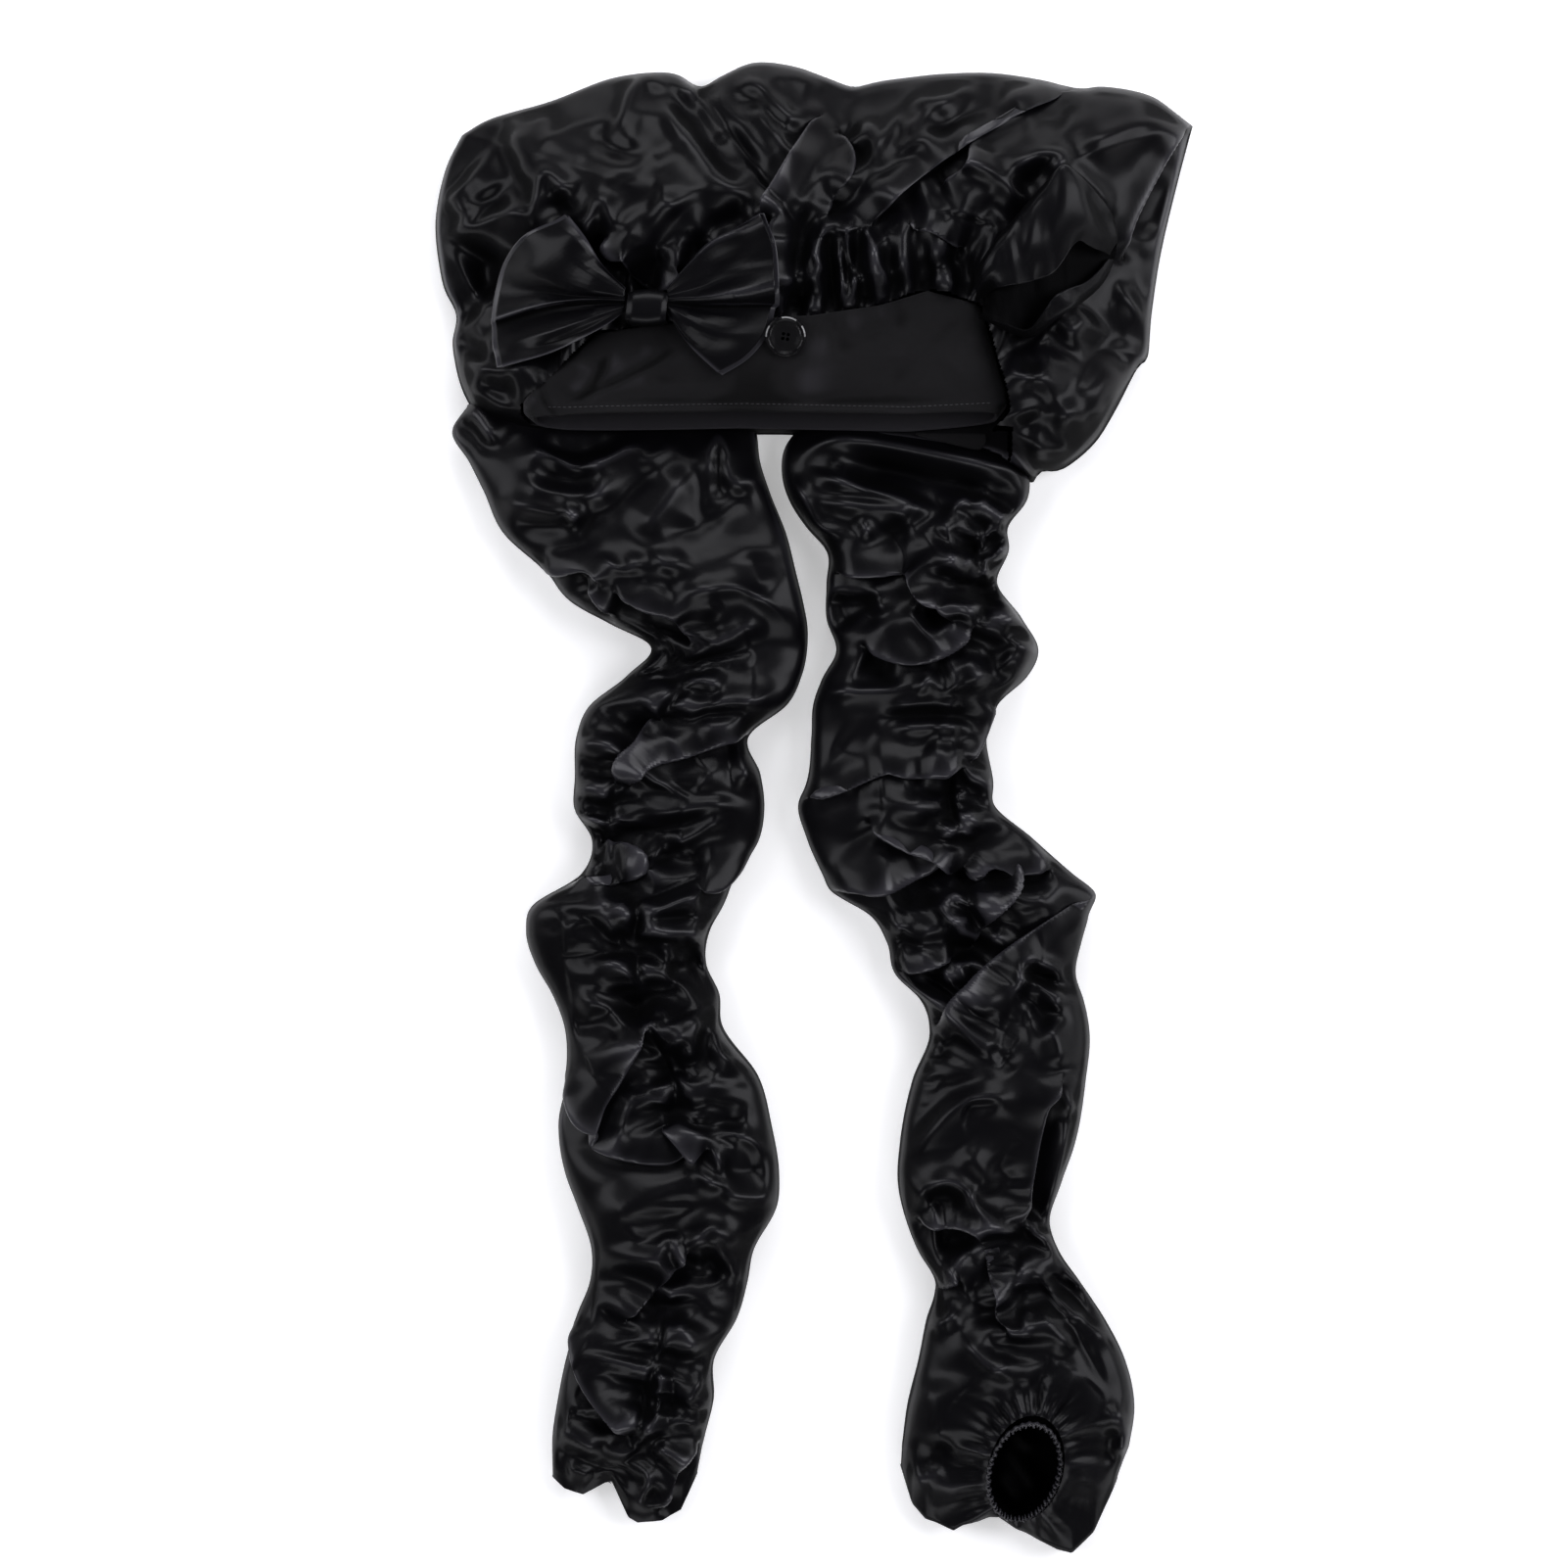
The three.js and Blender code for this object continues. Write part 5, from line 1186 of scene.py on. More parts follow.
# %% Folds of the crown's right part
CROWN_RIDGES += [
    (3, 10, 96, 372, 24, 8, 20, 2), (5, 8, 62, 346, 18, 4, 30, 12, 30, 12),
    (3, 14, 130, 372, 30, 4, 24, -8), (5, 7, 200, 362, -24, -2, -26, -10, -16, -8),
    (4, 4, 134, 340, 6, -10, 12, -10, 6, -12), (-5, 8, 112, 364, 12, -2, 12, -2),
    (5, 3.2, 98, 326, 12, 10, 14, 5, 6, -1, -4, -8, -14, -6), (-9, 4, 104, 322, 10, 6, 12, 8),
    (4.5, 3.2, 72, 324, 8, 8, 12, -2, 12, -10, 8, -6), (4, 3, 70, 342, 14, 4, 3, -2, -3, -8, -6, -4),
    (-5, 5, 66, 336, 2, -10, -6, -12), (4, 4, 56, 332, 2, -12, 4, -18), (-5, 6, 48, 324, 8, -10, 2, -10),
    (4, 6, 80, 328, -2, -16, -4, -16), (-4, 10, 90, 320, 8, -10, -2, -10),
    (5, 6, 49, 306, 9, -8, 12, -8, 8, 2), (-11, 3.6, 56, 274, 10, 7, 14, 11),
    (4, 6, 60, 276, 12, -4, 12, 2), (5, 4, 203, 363, -13, -19, -14, -20, -8, -14, -6, -14),
    (-8, 7, 196, 352, -10, -20, -10, -20, -8, -16), (-5, 5, 190, 336, -5, -18, -5, -18),
    (5, 5, 196, 344, -6, -26, -6, -28, -2, -28), (-4, 7, 176, 300, -2, -20, 2, -16),
    (4.5, 4, 158, 278, 12, -14, 8, -10, 1, -12), (-7, 8, 172, 252, -12, -2, -12, -12, -10, -16, -16, -14),
    (5, 8, 146, 262, -8, -12, -8, -6), (5, 10, 172, 232, -14, -18, -14, -12),
    (4, 8, 124, 242, -4, -14, -2, -12), (-8, 6, 106, 250, 6, -14, 4, -12), (4, 4, 100, 230, 8, -4, 8, -1),
    (4, 3.2, 98, 204, 10, 2, 10, 2, 10, -6), (-8, 6, 128, 214, -12, -10, -8, -10),
    (4, 5, 124, 200, 14, 6, 10, -8), (-4, 5, 118, 190, 12, 2, 14, 0), (4, 6, 112, 186, 12, 2, 18, 0),
]
print("folds:", len(CROWN_RIDGES))

# %% Lay the folds into the crown
GATHER_POINT = (-8, 205)  # the crown's soft folds fan out from about here
CROWN_UP, CROWN_RISE = 1.7, 1.3  # the lifts of its ridges and laps
CROWN_LAPS = [
    (6, 3.0, 2.8, -109, 300, 1, -12, 9, -1, 9, -9, 10, -5, 7, 2, 3, 9),
    (7, 3.4, 2.8, 7, 368, -11, -18, -10, -18, -10, -16, -6, -10),
    (5, 2.6, 2.6, -22, 308, 2, -12, 1, -16, 1, -14),
    (5, 4.5, 3.0, 27, 298, 13, 18, 20, 18, 20, 14, 20, 13, 18, 10, 28, 13),
    (7, 3.0, 2.8, 164, 286, 2, 19, 14, 29, 14, 21, 11, 9),
    (4, 2.4, 2.6, 8, 306, 1, 12, 10, 13, 1, 13, -8, 14), (5, 2.6, 2.6, 48, 304, 14, -4, 18, -8),
    (4, 2.2, 2.6, 84, 346, -4, -14, -14, -8),
]
for height, width, *path in CROWN_RIDGES:
    crown_cloth.ridge(path, (CROWN_UP if height > 0 else 1.0) * height, width)
crown_cloth.move = relax(crown_cloth.move, CROWN_ROWS, CROWN_COLUMNS, 14)
for over, rise, width, *path in CROWN_LAPS:
    crown_cloth.lap(path, over, CROWN_RISE * rise, width)
off = flat_crown - GATHER_POINT
fan = np.column_stack([120 * np.arctan2(off[:, 0], off[:, 1]), 0.38 * np.hypot(*off.T)])
crown_cloth.move[:, 2] += 2.6 * crown_cloth.free * waves(fan, 72, 31)
print("crown laps:", len(CROWN_LAPS), "- highest move:", round(crown_cloth.move[:, 2].max(), 1), "mm")

# %% [markdown]
# ## Gathers at the band
# Where the crown is sewn to the band it is drawn in to short pleats. An array of equal pleats would look
# machined. So the pleats' edges fall at random along the seam, in three sizes that reach out to different
# lengths, and the buckling joins them to the folds above.

# %% Gather the crown into the band
SEAM_PLEATS = ((44, 7, 2.2, 1), (24, 15, 2.6, 2), (11, 26, 2.2, 3))  # count, reach, height, seed
seam = smooth(BAND_SEAM, 1.5)
band_outline = np.vstack([seam, smooth(BAND_RIGHT_SIDE), [(96, 150), (-134, 150)], smooth(BAND_LEFT_SIDE)])
points = crown_cloth.points()
at, gap, along, _, _ = beside(seam, crown_cloth.base[:, :2], 40)
gathers = np.zeros(len(at))
for count, far, size, seed in SEAM_PLEATS:
    knots = np.sort(np.random.default_rng(seed).uniform(0, 1, count))
    phase = np.interp(along, np.r_[0, knots, 1], np.arange(count + 2) * math.pi)
    near = np.clip(gap, 0, None) / far
    gathers += size * np.sin(phase) * near * np.exp(1 - near)
points[at, 2] += np.where(gap > 0, gathers, 0) * ease(along / 0.04) * ease((1 - along) / 0.04)
drawn_in = ease(1 - gap / 22) ** 1.5 * (gap > -2)
points[at, 2] += drawn_in * (SEAM_HEIGHT - points[at, 2]) * 0.9
extra = extra_length(crown_cloth.base, [BAND_SEAM], 1, most=0.6, reach=16, everywhere=(0.005, 0.012))
loose = stitched(crown_cloth.base, crown_cloth.free, [BAND_SEAM])
points = relax(points, CROWN_ROWS, CROWN_COLUMNS, 1)
points = buckle(points, loose, (CROWN_ROWS, CROWN_COLUMNS), extra)
points = relax(points, CROWN_ROWS, CROWN_COLUMNS, 1)
in_front = (points[:, 1] < 199) & (points[:, 0] > -152) & (points[:, 0] < 104)
under = inside(band_outline, points[:, :2]) | in_front
points[under, 2] = np.minimum(points[under, 2], UNDER_BAND)
points[~under, 2] = np.maximum(points[~under, 2], np.where(share[~under] > 0.97, 5, 14))
print("crown points under the band:", int(under.sum()))

# %% [markdown]
# ## The crown's lower cloth
# The lower cloth lies flat on the floor and is sewn to the upper one all round. The edge of a second grid
# would have to be matched point by point. So it starts at the shared outline and shrinks in rings towards
# the middle, where a zipper of quads closes it.

# %% The lower cloth in rings
LOWER_RINGS = [  # scale and height
    (0.985, 0.45), (0.96, 0.1), (0.9, 0), (0.75, 0), (0.5, 0), (0.25, 0), (0.04, 0),
]
index = np.arange(CROWN_ROWS * CROWN_COLUMNS).reshape(CROWN_ROWS, CROWN_COLUMNS)
shared = np.r_[index[:, 0], index[-1, 1:-1], index[::-1, -1]]
front = spaced(CROWN_FRONT, CROWN_COLUMNS)[-2:0:-1]
rim = np.vstack([points[shared], np.column_stack([front, np.full(len(front), FLOOR_CLEARANCE)])])
around = len(rim)
rings = [rim[len(shared):]]
centre = np.array(CROWN_CENTRE)
for scale, rise in LOWER_RINGS:
    ring_height = np.maximum(rise * rim[:, 2], FLOOR_CLEARANCE)
    rings.append(np.column_stack([centre + scale * (rim[:, :2] - centre), ring_height]))
start = len(points)
first = np.r_[shared, start + np.arange(len(front))]
rows = np.vstack([first, start + len(front) + np.arange(len(LOWER_RINGS) * around).reshape(-1, around)])
after = np.roll(rows, -1, 1)
quads_lower = np.stack([rows[:-1], after[:-1], after[1:], rows[1:]], 2).reshape(-1, 4)
last, half = rows[-1], around // 2
k = np.arange(half - 1)
zipper = np.stack([last[k], last[k + 1], last[around - 2 - k], last[around - 1 - k]], 1)
every = np.vstack([points] + rings)
print("lower cloth:", len(quads_lower) + half - 1, "faces")

# %% The finished crown
quads = grid_faces(CROWN_ROWS, CROWN_COLUMNS)
wall = (every[quads][:, :, 2].max(1) > UNDER_BAND + 1) & under[quads].any(1) & (~under[quads]).any(1)
quads = np.vstack([quads[~wall], quads_lower, zipper[:half - 1]])
used = np.unique(quads)
fresh = np.full(len(every), -1)
fresh[used] = np.arange(len(used))
quads = fresh[quads]
crown_points = every[used]
crown_uv = crown_points[quads][:, :, :2].reshape(-1, 2) * MM
crown = cloth_mesh("crown_cloth", crown_points, quads, crown_uv, satin)
outwards(crown, np.array([0, 0.285, 0.02]))
# A painted highlight on the upper cloth's turned edges, and none on the lower cloth:
rim = np.zeros(len(every))
rim[:CROWN_ROWS * CROWN_COLUMNS] = turned_edge_highlight(crown_cloth.free)
mark_fold_light_and_shade(crown, rim=rim[used])
stand_in(crown, "crown")

# %% [markdown]
# ## The headband
# The band is a wide flat tube of matte jersey, two layers thick, with elastic inside. Its upper layer ends in
# a folded front edge, below which the back of the band shows. A stretched cylinder would be too even. So it
# is drawn as rings from the seam to the front edge, with soft folds, and Solidify gives it its thickness.

# %% The band's sizes and folds, in millimetres
BAND_FRONT = [(-154, 199), (-130, 198), (-36, 200), (50, 198), (103, 201)]
BAND_SHARES = [0, 0.2, 0.4, 0.6, 0.8, 0.9, 1.0]
BAND_LEFTS = [-114, -124, -136, -146, -152, -152, -146]
BAND_RIGHTS = [88, 91.5, 95, 98, 102, 102, 97]
BAND_ROWS, BAND_AROUND = 56, 300
BAND_ROUNDNESS = 0.55
BAND_BACK_DROP = 8.0
BAND_THICK = 1.8
BAND_FOLDS = [
    (1.6, 3.0, -135, 207, 15, -0.5, 106, -0.9, 74, 1.4, 40, 2),
    (-1.8, 3.4, -140, 216, 30, -3, 96, -1, 74, 1, 38, 2), (-1.5, 1.6, -106, 240, -6, -14, -7, -10, -8, -5),
    (1.4, 5.0, -118, 236, -6, -14, -4, -8), (-1.6, 1.8, -66, 243, -18, -11, -20, -10, -20, -8, -9, -6),
    (1.4, 5.0, -78, 244, -18, -10, -16, -6), (-1.4, 1.8, -138, 223, -5, -3, 2, -7, 5, -6, 6, 3),
    (1.5, 5.0, -146, 226, -4, -10, 6, -8), (-1.2, 4.0, -40, 224, -32, -1, -20, 3),
    (1.2, 8.0, -40, 232, 30, -6, 50, 10, 44, -4), (-1.4, 7.0, -36, 232, 12, -16, 8, -4),
    (-1.6, 6.0, 0, 242, 14, -1, 20, 7, 26, 14), (1.2, 8.0, 10, 250, 18, 6, 18, 6),
    (-1.3, 6.0, 34, 212, 10, 12, 22, 22, 20, 16), (1.2, 9.0, 70, 222, 14, 18, 4, 14),
    (-1.0, 5.0, 92, 250, 4, -18, 5, -18),
]
BAND_LIFT = 1.7
BAND_DEPTH = 55  # from the seam to the front edge, for the weave
print("band:", BAND_RIGHTS[4] - BAND_LEFTS[4], "mm wide")


# %% The band's surface
def band_ring(share):
    turn = np.linspace(0, 2 * math.pi, BAND_AROUND, endpoint=False)
    left, right = np.interp(share, BAND_SHARES, BAND_LEFTS), np.interp(share, BAND_SHARES, BAND_RIGHTS)
    across, up = -np.cos(turn), np.sin(turn)
    across = np.sign(across) * np.abs(across) ** BAND_ROUNDNESS
    up = np.sign(up) * np.abs(up) ** BAND_ROUNDNESS
    x = (left + right) / 2 + (right - left) / 2 * across
    z = (BAND_BOTTOM + BAND_TOP) / 2 + (BAND_TOP - BAND_BOTTOM) / 2 * up
    rise = (z - BAND_BOTTOM) / (BAND_TOP - BAND_BOTTOM)
    seam_line, front = np.array(BAND_SEAM), np.array(BAND_FRONT)
    start = np.interp(x, seam_line[:, 0], seam_line[:, 1])
    stop = np.interp(x, front[:, 0], front[:, 1]) + BAND_BACK_DROP * rise
    return np.stack([x, start + share * (stop - start), z], 1)


band_points = np.vstack([band_ring(s) for s in np.linspace(0, 1, BAND_ROWS)])
band_up = (band_points[:, 2] - BAND_BOTTOM) / (BAND_TOP - BAND_BOTTOM)
band_cloth = Cloth(band_points, ease((band_up - 0.55) / 0.4))
for lift, width, *path in BAND_FOLDS:
    band_cloth.ridge(path, BAND_LIFT * lift, width, sharp=1.7)
band_cloth.move[:, 2] += 0.5 * band_cloth.free * waves(band_points[:, :2], 26, 5)
band_grid = relax(band_cloth.points(), BAND_ROWS, BAND_AROUND, 1, closed=True)
steps = np.hypot(*np.diff(np.vstack([band_ring(0.5), band_ring(0.5)[:1]])[:, ::2], axis=0).T)
band_uv = np.zeros((BAND_ROWS, BAND_AROUND + 1, 2))
band_uv[:, 1:, 0] = np.cumsum(steps)
band_uv[:, :, 1] = np.linspace(0, BAND_DEPTH, BAND_ROWS)[:, None]
band = cloth_mesh("headband_cloth", band_grid, grid_faces(BAND_ROWS, BAND_AROUND, closed=True),
                  grid_uv(band_uv * MM, BAND_ROWS - 1, BAND_AROUND), jersey)
outwards(band, np.array([-0.025, 0.228, 0.0425]))


def solidify(piece, thickness_mm):
    """Gives a cloth its thickness, inwards from its surface."""
    wall = piece.modifiers.new("thickness", "SOLIDIFY")
    wall.thickness, wall.offset = thickness_mm * MM, -1.0
    return piece


mark_fold_light_and_shade(band, full_mm=1.0)
solidify(band, BAND_THICK)
stand_in(band, "headband")

# %% [markdown]
# ## Pieces that lie on top
# The bow, its knot and the flared loop are folded strips of satin. A Shrinkwrap modifier could lay them on
# the crown, but would flatten their folds. So each is a skin through a few guide lines, given as x, y and a
# lift above whatever lies underneath. A ray dropped from above finds that height.

# %% Rays and skins
AROUND = ((0, 0), (-1, 0), (1, 0), (0, -1), (0, 1), (-0.7, 0.7), (0.7, 0.7), (0.7, -0.7), (-0.7, -0.7))


def landing_on(*pieces):
    """A function that tells the height in millimetres of the highest of the pieces at x and y."""
    trees = [BVHTree.FromObject(piece, bpy.context.evaluated_depsgraph_get()) for piece in pieces]

    def height_at(x, y):
        best = 0.0
        for tree in trees:
            hit = tree.ray_cast(Vector((x * MM, y * MM, 0.2)), Vector((0, 0, -1)))[0]
            if hit is not None:
                best = max(best, hit.z / MM)
        return best

    return height_at


def highest_near(height_at, x, y, radius):
    return max(height_at(x + dx * radius, y + dy * radius) for dx, dy in AROUND)


def skin(guides, rows, columns):
    """A smooth grid through guide lines of (x, y, z): columns along each line, rows from line to line."""
    lines = np.stack([spaced(g, columns) for g in guides])
    return np.stack([spaced(lines[:, k], rows) for k in range(columns)], 1)


def skin_mesh(name, grid, material, closed=False):
    rows, columns = grid.shape[:2]
    quads = grid_faces(rows, columns, closed=closed)
    flat = np.zeros((rows, columns + 1, 2))
    ring = np.concatenate([grid, grid[:, :1]], 1)
    flat[:, 1:, 0] = np.cumsum(np.linalg.norm(np.diff(ring, axis=1), axis=2), 1)
    flat[1:, :, 1] = np.cumsum(np.linalg.norm(np.diff(ring, axis=0), axis=2), 0)
    uv = grid_uv(flat * MM, rows - 1, columns if closed else columns - 1)
    return cloth_mesh(name, grid.reshape(-1, 3), quads, uv, material)


ground = landing_on(crown, band)
print("height under the knot:", round(ground(-87, 265), 1), "mm")

# %% [markdown]
# ## The bow
# Each wing of the bow is a flattened tube of satin that is pinched by the knot. A simulation could pinch it,
# but its pleats would fall anywhere. Here ribs run from the knot to the outer end, and their lifts make the
# pleats: a high rib is a crest, and a low one a groove.

# %% Ribs of the bow
LEFT_UPPER = [
    [(-98, 270.5, 0), (-110, 283, 2), (-118, 296, 3), (-127, 308, 1)],
    [(-98, 269.5, 2), (-112, 282, 8), (-122, 294, 10), (-133, 304.5, 5)],
    [(-98, 268, 2), (-116, 277, 9), (-132, 288, 11), (-149, 298, 4)],
    [(-98, 266, 2), (-120, 270, 7), (-142, 279, 9), (-160, 286, 3)],
    [(-98, 265, 1.5), (-122, 266, 4), (-146, 270, 4), (-165, 270, 2)],
    [(-98, 263.5, 3), (-120, 264, 8), (-140, 262.5, 9), (-167, 256, 6)],
    [(-98, 262, 0.5), (-120, 261.5, 1.5), (-140, 260, 1), (-166.5, 254, 0.5)],
    [(-98, 260.5, 1.5), (-120, 253, 6), (-142, 247, 6), (-166, 243, 2)],
    [(-98, 259.5, 1), (-116, 250, 3), (-138, 242, 2.5), (-164, 236, 1)],
    [(-98, 258, 0), (-110, 249.5, 2), (-136.5, 237.5, 3), (-163, 230, 1)],
]
RIGHT_UPPER = [
    [(-76, 270.5, 0), (-68, 279, 2), (-55, 293.5, 3), (-28, 308, 1)],
    [(-76, 269, 2.5), (-63, 284, 9), (-50, 295, 12), (-26, 303, 5)],
    [(-76, 267.5, 1.5), (-60, 277, 5), (-45, 285, 4), (-22, 293, 3)],
    [(-76, 266, 1.5), (-58, 271, 4), (-42, 277, 3), (-20.5, 282, 2)],
    [(-76, 264.5, 3), (-58, 265, 9), (-40, 267, 11), (-20, 270, 6)],
    [(-76, 263, 2), (-58, 262, 6), (-40, 262, 7), (-20, 262, 4)],
    [(-76, 261.5, 0.5), (-58, 260, 1), (-40, 260, 1), (-22, 260.5, 0.5)],
    [(-76, 260.5, 1.5), (-61, 252, 7), (-46, 247, 8), (-26, 247, 3)],
    [(-76, 259.5, 1), (-66, 246, 4), (-54, 239, 4), (-36, 235, 2)],
    [(-76, 258, 0), (-70, 248, 1.5), (-62, 238, 2), (-50, 227, 1)],
]

print("ribs:", len(LEFT_UPPER), "and", len(RIGHT_UPPER))

# %% The wings
PINCH_HEIGHT = 64.0  # of the cloth under the knot
PINCH_SHARE = 0.55  # of a rib's length, over which it comes down from the knot
RIB_RADIUS = 5.0  # how wide round a rib the ground counts
TAUT_PASSES = 6
WING_GRID = (110, 90)
PULL_BACK = 2.5  # how far the lower layer reaches past the upper one at the outer end


def laid(rib, base):
    """The points of a rib at their heights: the pinch height at its start, then down onto what lies below."""
    line = spaced(rib, 14)
    under = np.array([highest_near(ground, x, y, RIB_RADIUS) + 1.2 for x, y, _ in line])
    for _ in range(TAUT_PASSES):  # the stiff satin bridges the small folds that it lies on
        under[1:-1] = 0.5 * under[1:-1] + 0.25 * (under[:-2] + under[2:])
    down = ease(np.linspace(0, 1, len(line)) / PINCH_SHARE)
    height = np.maximum(under, PINCH_HEIGHT * (1 - down) + under * down)
    return [(x, y, z + lift + base) for (x, y, lift), z in zip(line, height)]


def wing(name, ribs):
    """A bow wing: an upper and a lower layer that join along both sides and end apart."""
    upper = skin([laid(r, 0.6) for r in ribs], *WING_GRID)
    short = [[(x, y, 0.3 * lift) for x, y, lift in r] for r in ribs]
    for r in short:
        (x0, y0, _), (x1, y1, _) = r[-2], r[-1]
        length = math.hypot(x1 - x0, y1 - y0)
        r[-1] = (x1 + PULL_BACK * (x1 - x0) / length, y1 + PULL_BACK * (y1 - y0) / length, 0)
    lower = skin([laid(r, -0.8) for r in short], *WING_GRID)
    flat = upper.reshape(-1, 3)
    flat[:, 2] += 0.25 * waves(flat[:, :2], 22, 8)
    lower[..., 2] = np.minimum(lower[..., 2], upper[..., 2] - 0.9)
    lower[0], lower[-1] = upper[0], upper[-1]
    ring = np.concatenate([upper, lower[::-1][1:-1]], 0).transpose(1, 0, 2)
    piece = skin_mesh(name, ring, satin, closed=True)
    outwards(piece, ring.reshape(-1, 3).mean(0) * MM)
    return solidify(mark_fold_light_and_shade(piece, full_mm=1.2), 0.5)


left_wing = wing("bow_wing_left_cloth", LEFT_UPPER)
right_wing = wing("bow_wing_right_cloth", RIGHT_UPPER)
stand_in(left_wing, "bow_wing_left")
stand_in(right_wing, "bow_wing_right")

# %% [markdown]
# ## The knot
# The knot is a short strap of satin round the waist of the bow. It could be a beveled cube with subdivisions,
# but a strap bulges in the middle and tightens at both rims. So it is a row of rounded rings whose size
# follows that bulge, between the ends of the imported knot.

# %% The strap around the bow's waist
knot_low, knot_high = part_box("bow_knot")
KNOT_LEFT, KNOT_RIGHT = knot_low[0] / MM, knot_high[0] / MM
KNOT_MIDDLE_Y = (knot_low[1] + knot_high[1]) / 2 / MM
KNOT_HALF = (knot_high[1] - knot_low[1]) / 2 / MM
KNOT_FOOT, KNOT_CREST = knot_low[2] / MM, knot_high[2] / MM + 2.5
knot_rings = []
for s in np.linspace(0, 1, 60):
    x = KNOT_LEFT + (KNOT_RIGHT - KNOT_LEFT) * s
    full = 1 - 0.16 * np.exp(-(s / 0.09) ** 2) - 0.16 * np.exp(-((1 - s) / 0.09) ** 2)
    turn = np.linspace(0, 2 * math.pi, 96, endpoint=False)
    half = KNOT_HALF * (0.96 - 0.05 * math.cos(2 * math.pi * s))
    y = KNOT_MIDDLE_Y + half * np.sign(np.cos(turn)) * np.abs(np.cos(turn)) ** 0.8 * (0.4 + 0.6 * full)
    rise = np.sign(np.sin(turn)) * np.abs(np.sin(turn)) ** 0.7
    middle = (KNOT_FOOT + KNOT_CREST) / 2
    z = middle + (KNOT_CREST - KNOT_FOOT) / 2 * rise * full
    knot_rings.append(np.stack([x + 0.6 * np.sin(2 * turn), y, z], 1))
knot = skin_mesh("bow_knot_cloth", np.array(knot_rings), satin, closed=True)
outwards(knot, (Vector(knot_low) + Vector(knot_high)) / 2)
solidify(mark_fold_light_and_shade(knot, full_mm=9, rim=0.15), 0.8)
stand_in(knot, "bow_knot")

# %% [markdown]
# ## The flared loop
# At the band's right end a strip of satin is pinched and flares into a loop like a wide trumpet. A bent cone
# has the shape but not the lips, which roll over by different amounts. So guide lines run along it from left
# to right, in order round its section: the upper lip, the crest, the back, the under layer and the lower lip.

# %% Guides of the loop: x, y, lift above what lies underneath
LOOP_GUIDES = [
    [(85, 265, 3), (93, 269, 6), (109, 272, 12), (123.5, 277, 15), (130, 284, 17), (134, 290.5, 18),
     (139, 295, 17), (145, 292.5, 14), (152, 291, 10), (156, 290, 6)],
    [(85, 269, 6), (92, 277, 12), (106, 287, 17), (120, 296, 20), (129, 302, 22), (136, 306, 22),
     (143, 305, 20), (149, 301, 16), (154, 297, 11), (157.5, 293, 6)],
    [(84, 274, 6), (91, 286, 10), (104, 300, 14), (118, 315, 16), (129, 324, 17), (138, 322, 17),
     (146, 314, 15), (152, 307, 12), (156.5, 300.5, 9), (159, 295, 5)],
    [(84, 279, 3), (92, 291, 4), (106, 308, 6), (120, 324, 7), (130, 333.5, 7), (141, 327, 7),
     (150, 319, 6.5), (157, 311, 6), (160, 303, 5), (160.3, 297, 4)],
    [(85, 277, 0.5), (96, 288, 0.5), (108, 300, 0.5), (120, 310, 0.5), (130, 314, 0.5), (140, 308, 0.5),
     (148, 300, 0.5), (154, 296, 0.5), (158, 296, 0.5), (160, 294, 0.8)],
    [(88, 266, 0.3), (98, 266, 0.3), (108, 268, 0.3), (118, 272, 0.3), (128, 276, 0.3), (138, 280, 0.3),
     (146, 284, 0.3), (152, 286, 0.3), (157, 288, 0.4), (159.5, 290, 0.6)],
    [(89, 258, 0.6), (97, 252, 0.6), (106, 249, 0.6), (115, 248, 0.8), (124, 254, 0.8), (135, 261.5, 0.8),
     (143, 267, 0.8), (150, 273, 0.8), (155.5, 280, 0.9), (159, 288, 1)],
    [(87, 255.5, 2), (95, 250.5, 3), (104, 247, 4.5), (115, 246.5, 6), (127, 256.5, 6), (137, 263, 6),
     (146, 270, 6), (152, 276, 5.5), (156.5, 283, 4.5), (158.5, 288.5, 3)],
    [(88.5, 256.5, 4.5), (95, 252.5, 6.5), (102, 250.5, 8), (113, 249, 9.5), (121.5, 259.5, 10.5),
     (126, 266, 11), (133, 270.5, 11), (142, 274, 10), (150, 281, 8), (155.5, 288, 5)],
]


def laid_loop(guide):
    line = spaced(guide, 30)
    return [(x, y, highest_near(ground, x, y, 2.0) + 1.0 + lift) for x, y, lift in line]


loop_grid = skin([laid_loop(g) for g in LOOP_GUIDES], 150, 150)
flat = loop_grid.reshape(-1, 3)
flat[:, 2] += 0.2 * crumples(flat[:, :2], 26, 15) + 0.6 * waves(flat[:, :2], 20, 18)
loop = skin_mesh("side_loop_cloth", relax(flat, 150, 150, 2).reshape(150, 150, 3), satin)
outwards(loop, np.array([0.125, 0.285, 0.072]))
solidify(mark_fold_light_and_shade(loop, rim=0.1), 0.7)
stand_in(loop, "side_loop")

# %% [markdown]
# ## The lining's corner
# At the right of the band's front edge a corner of the layer inside it peeks out, as a small tongue. A bent
# plane would do. A skin between its upper and lower edge is as short, and uses the same helper as before.

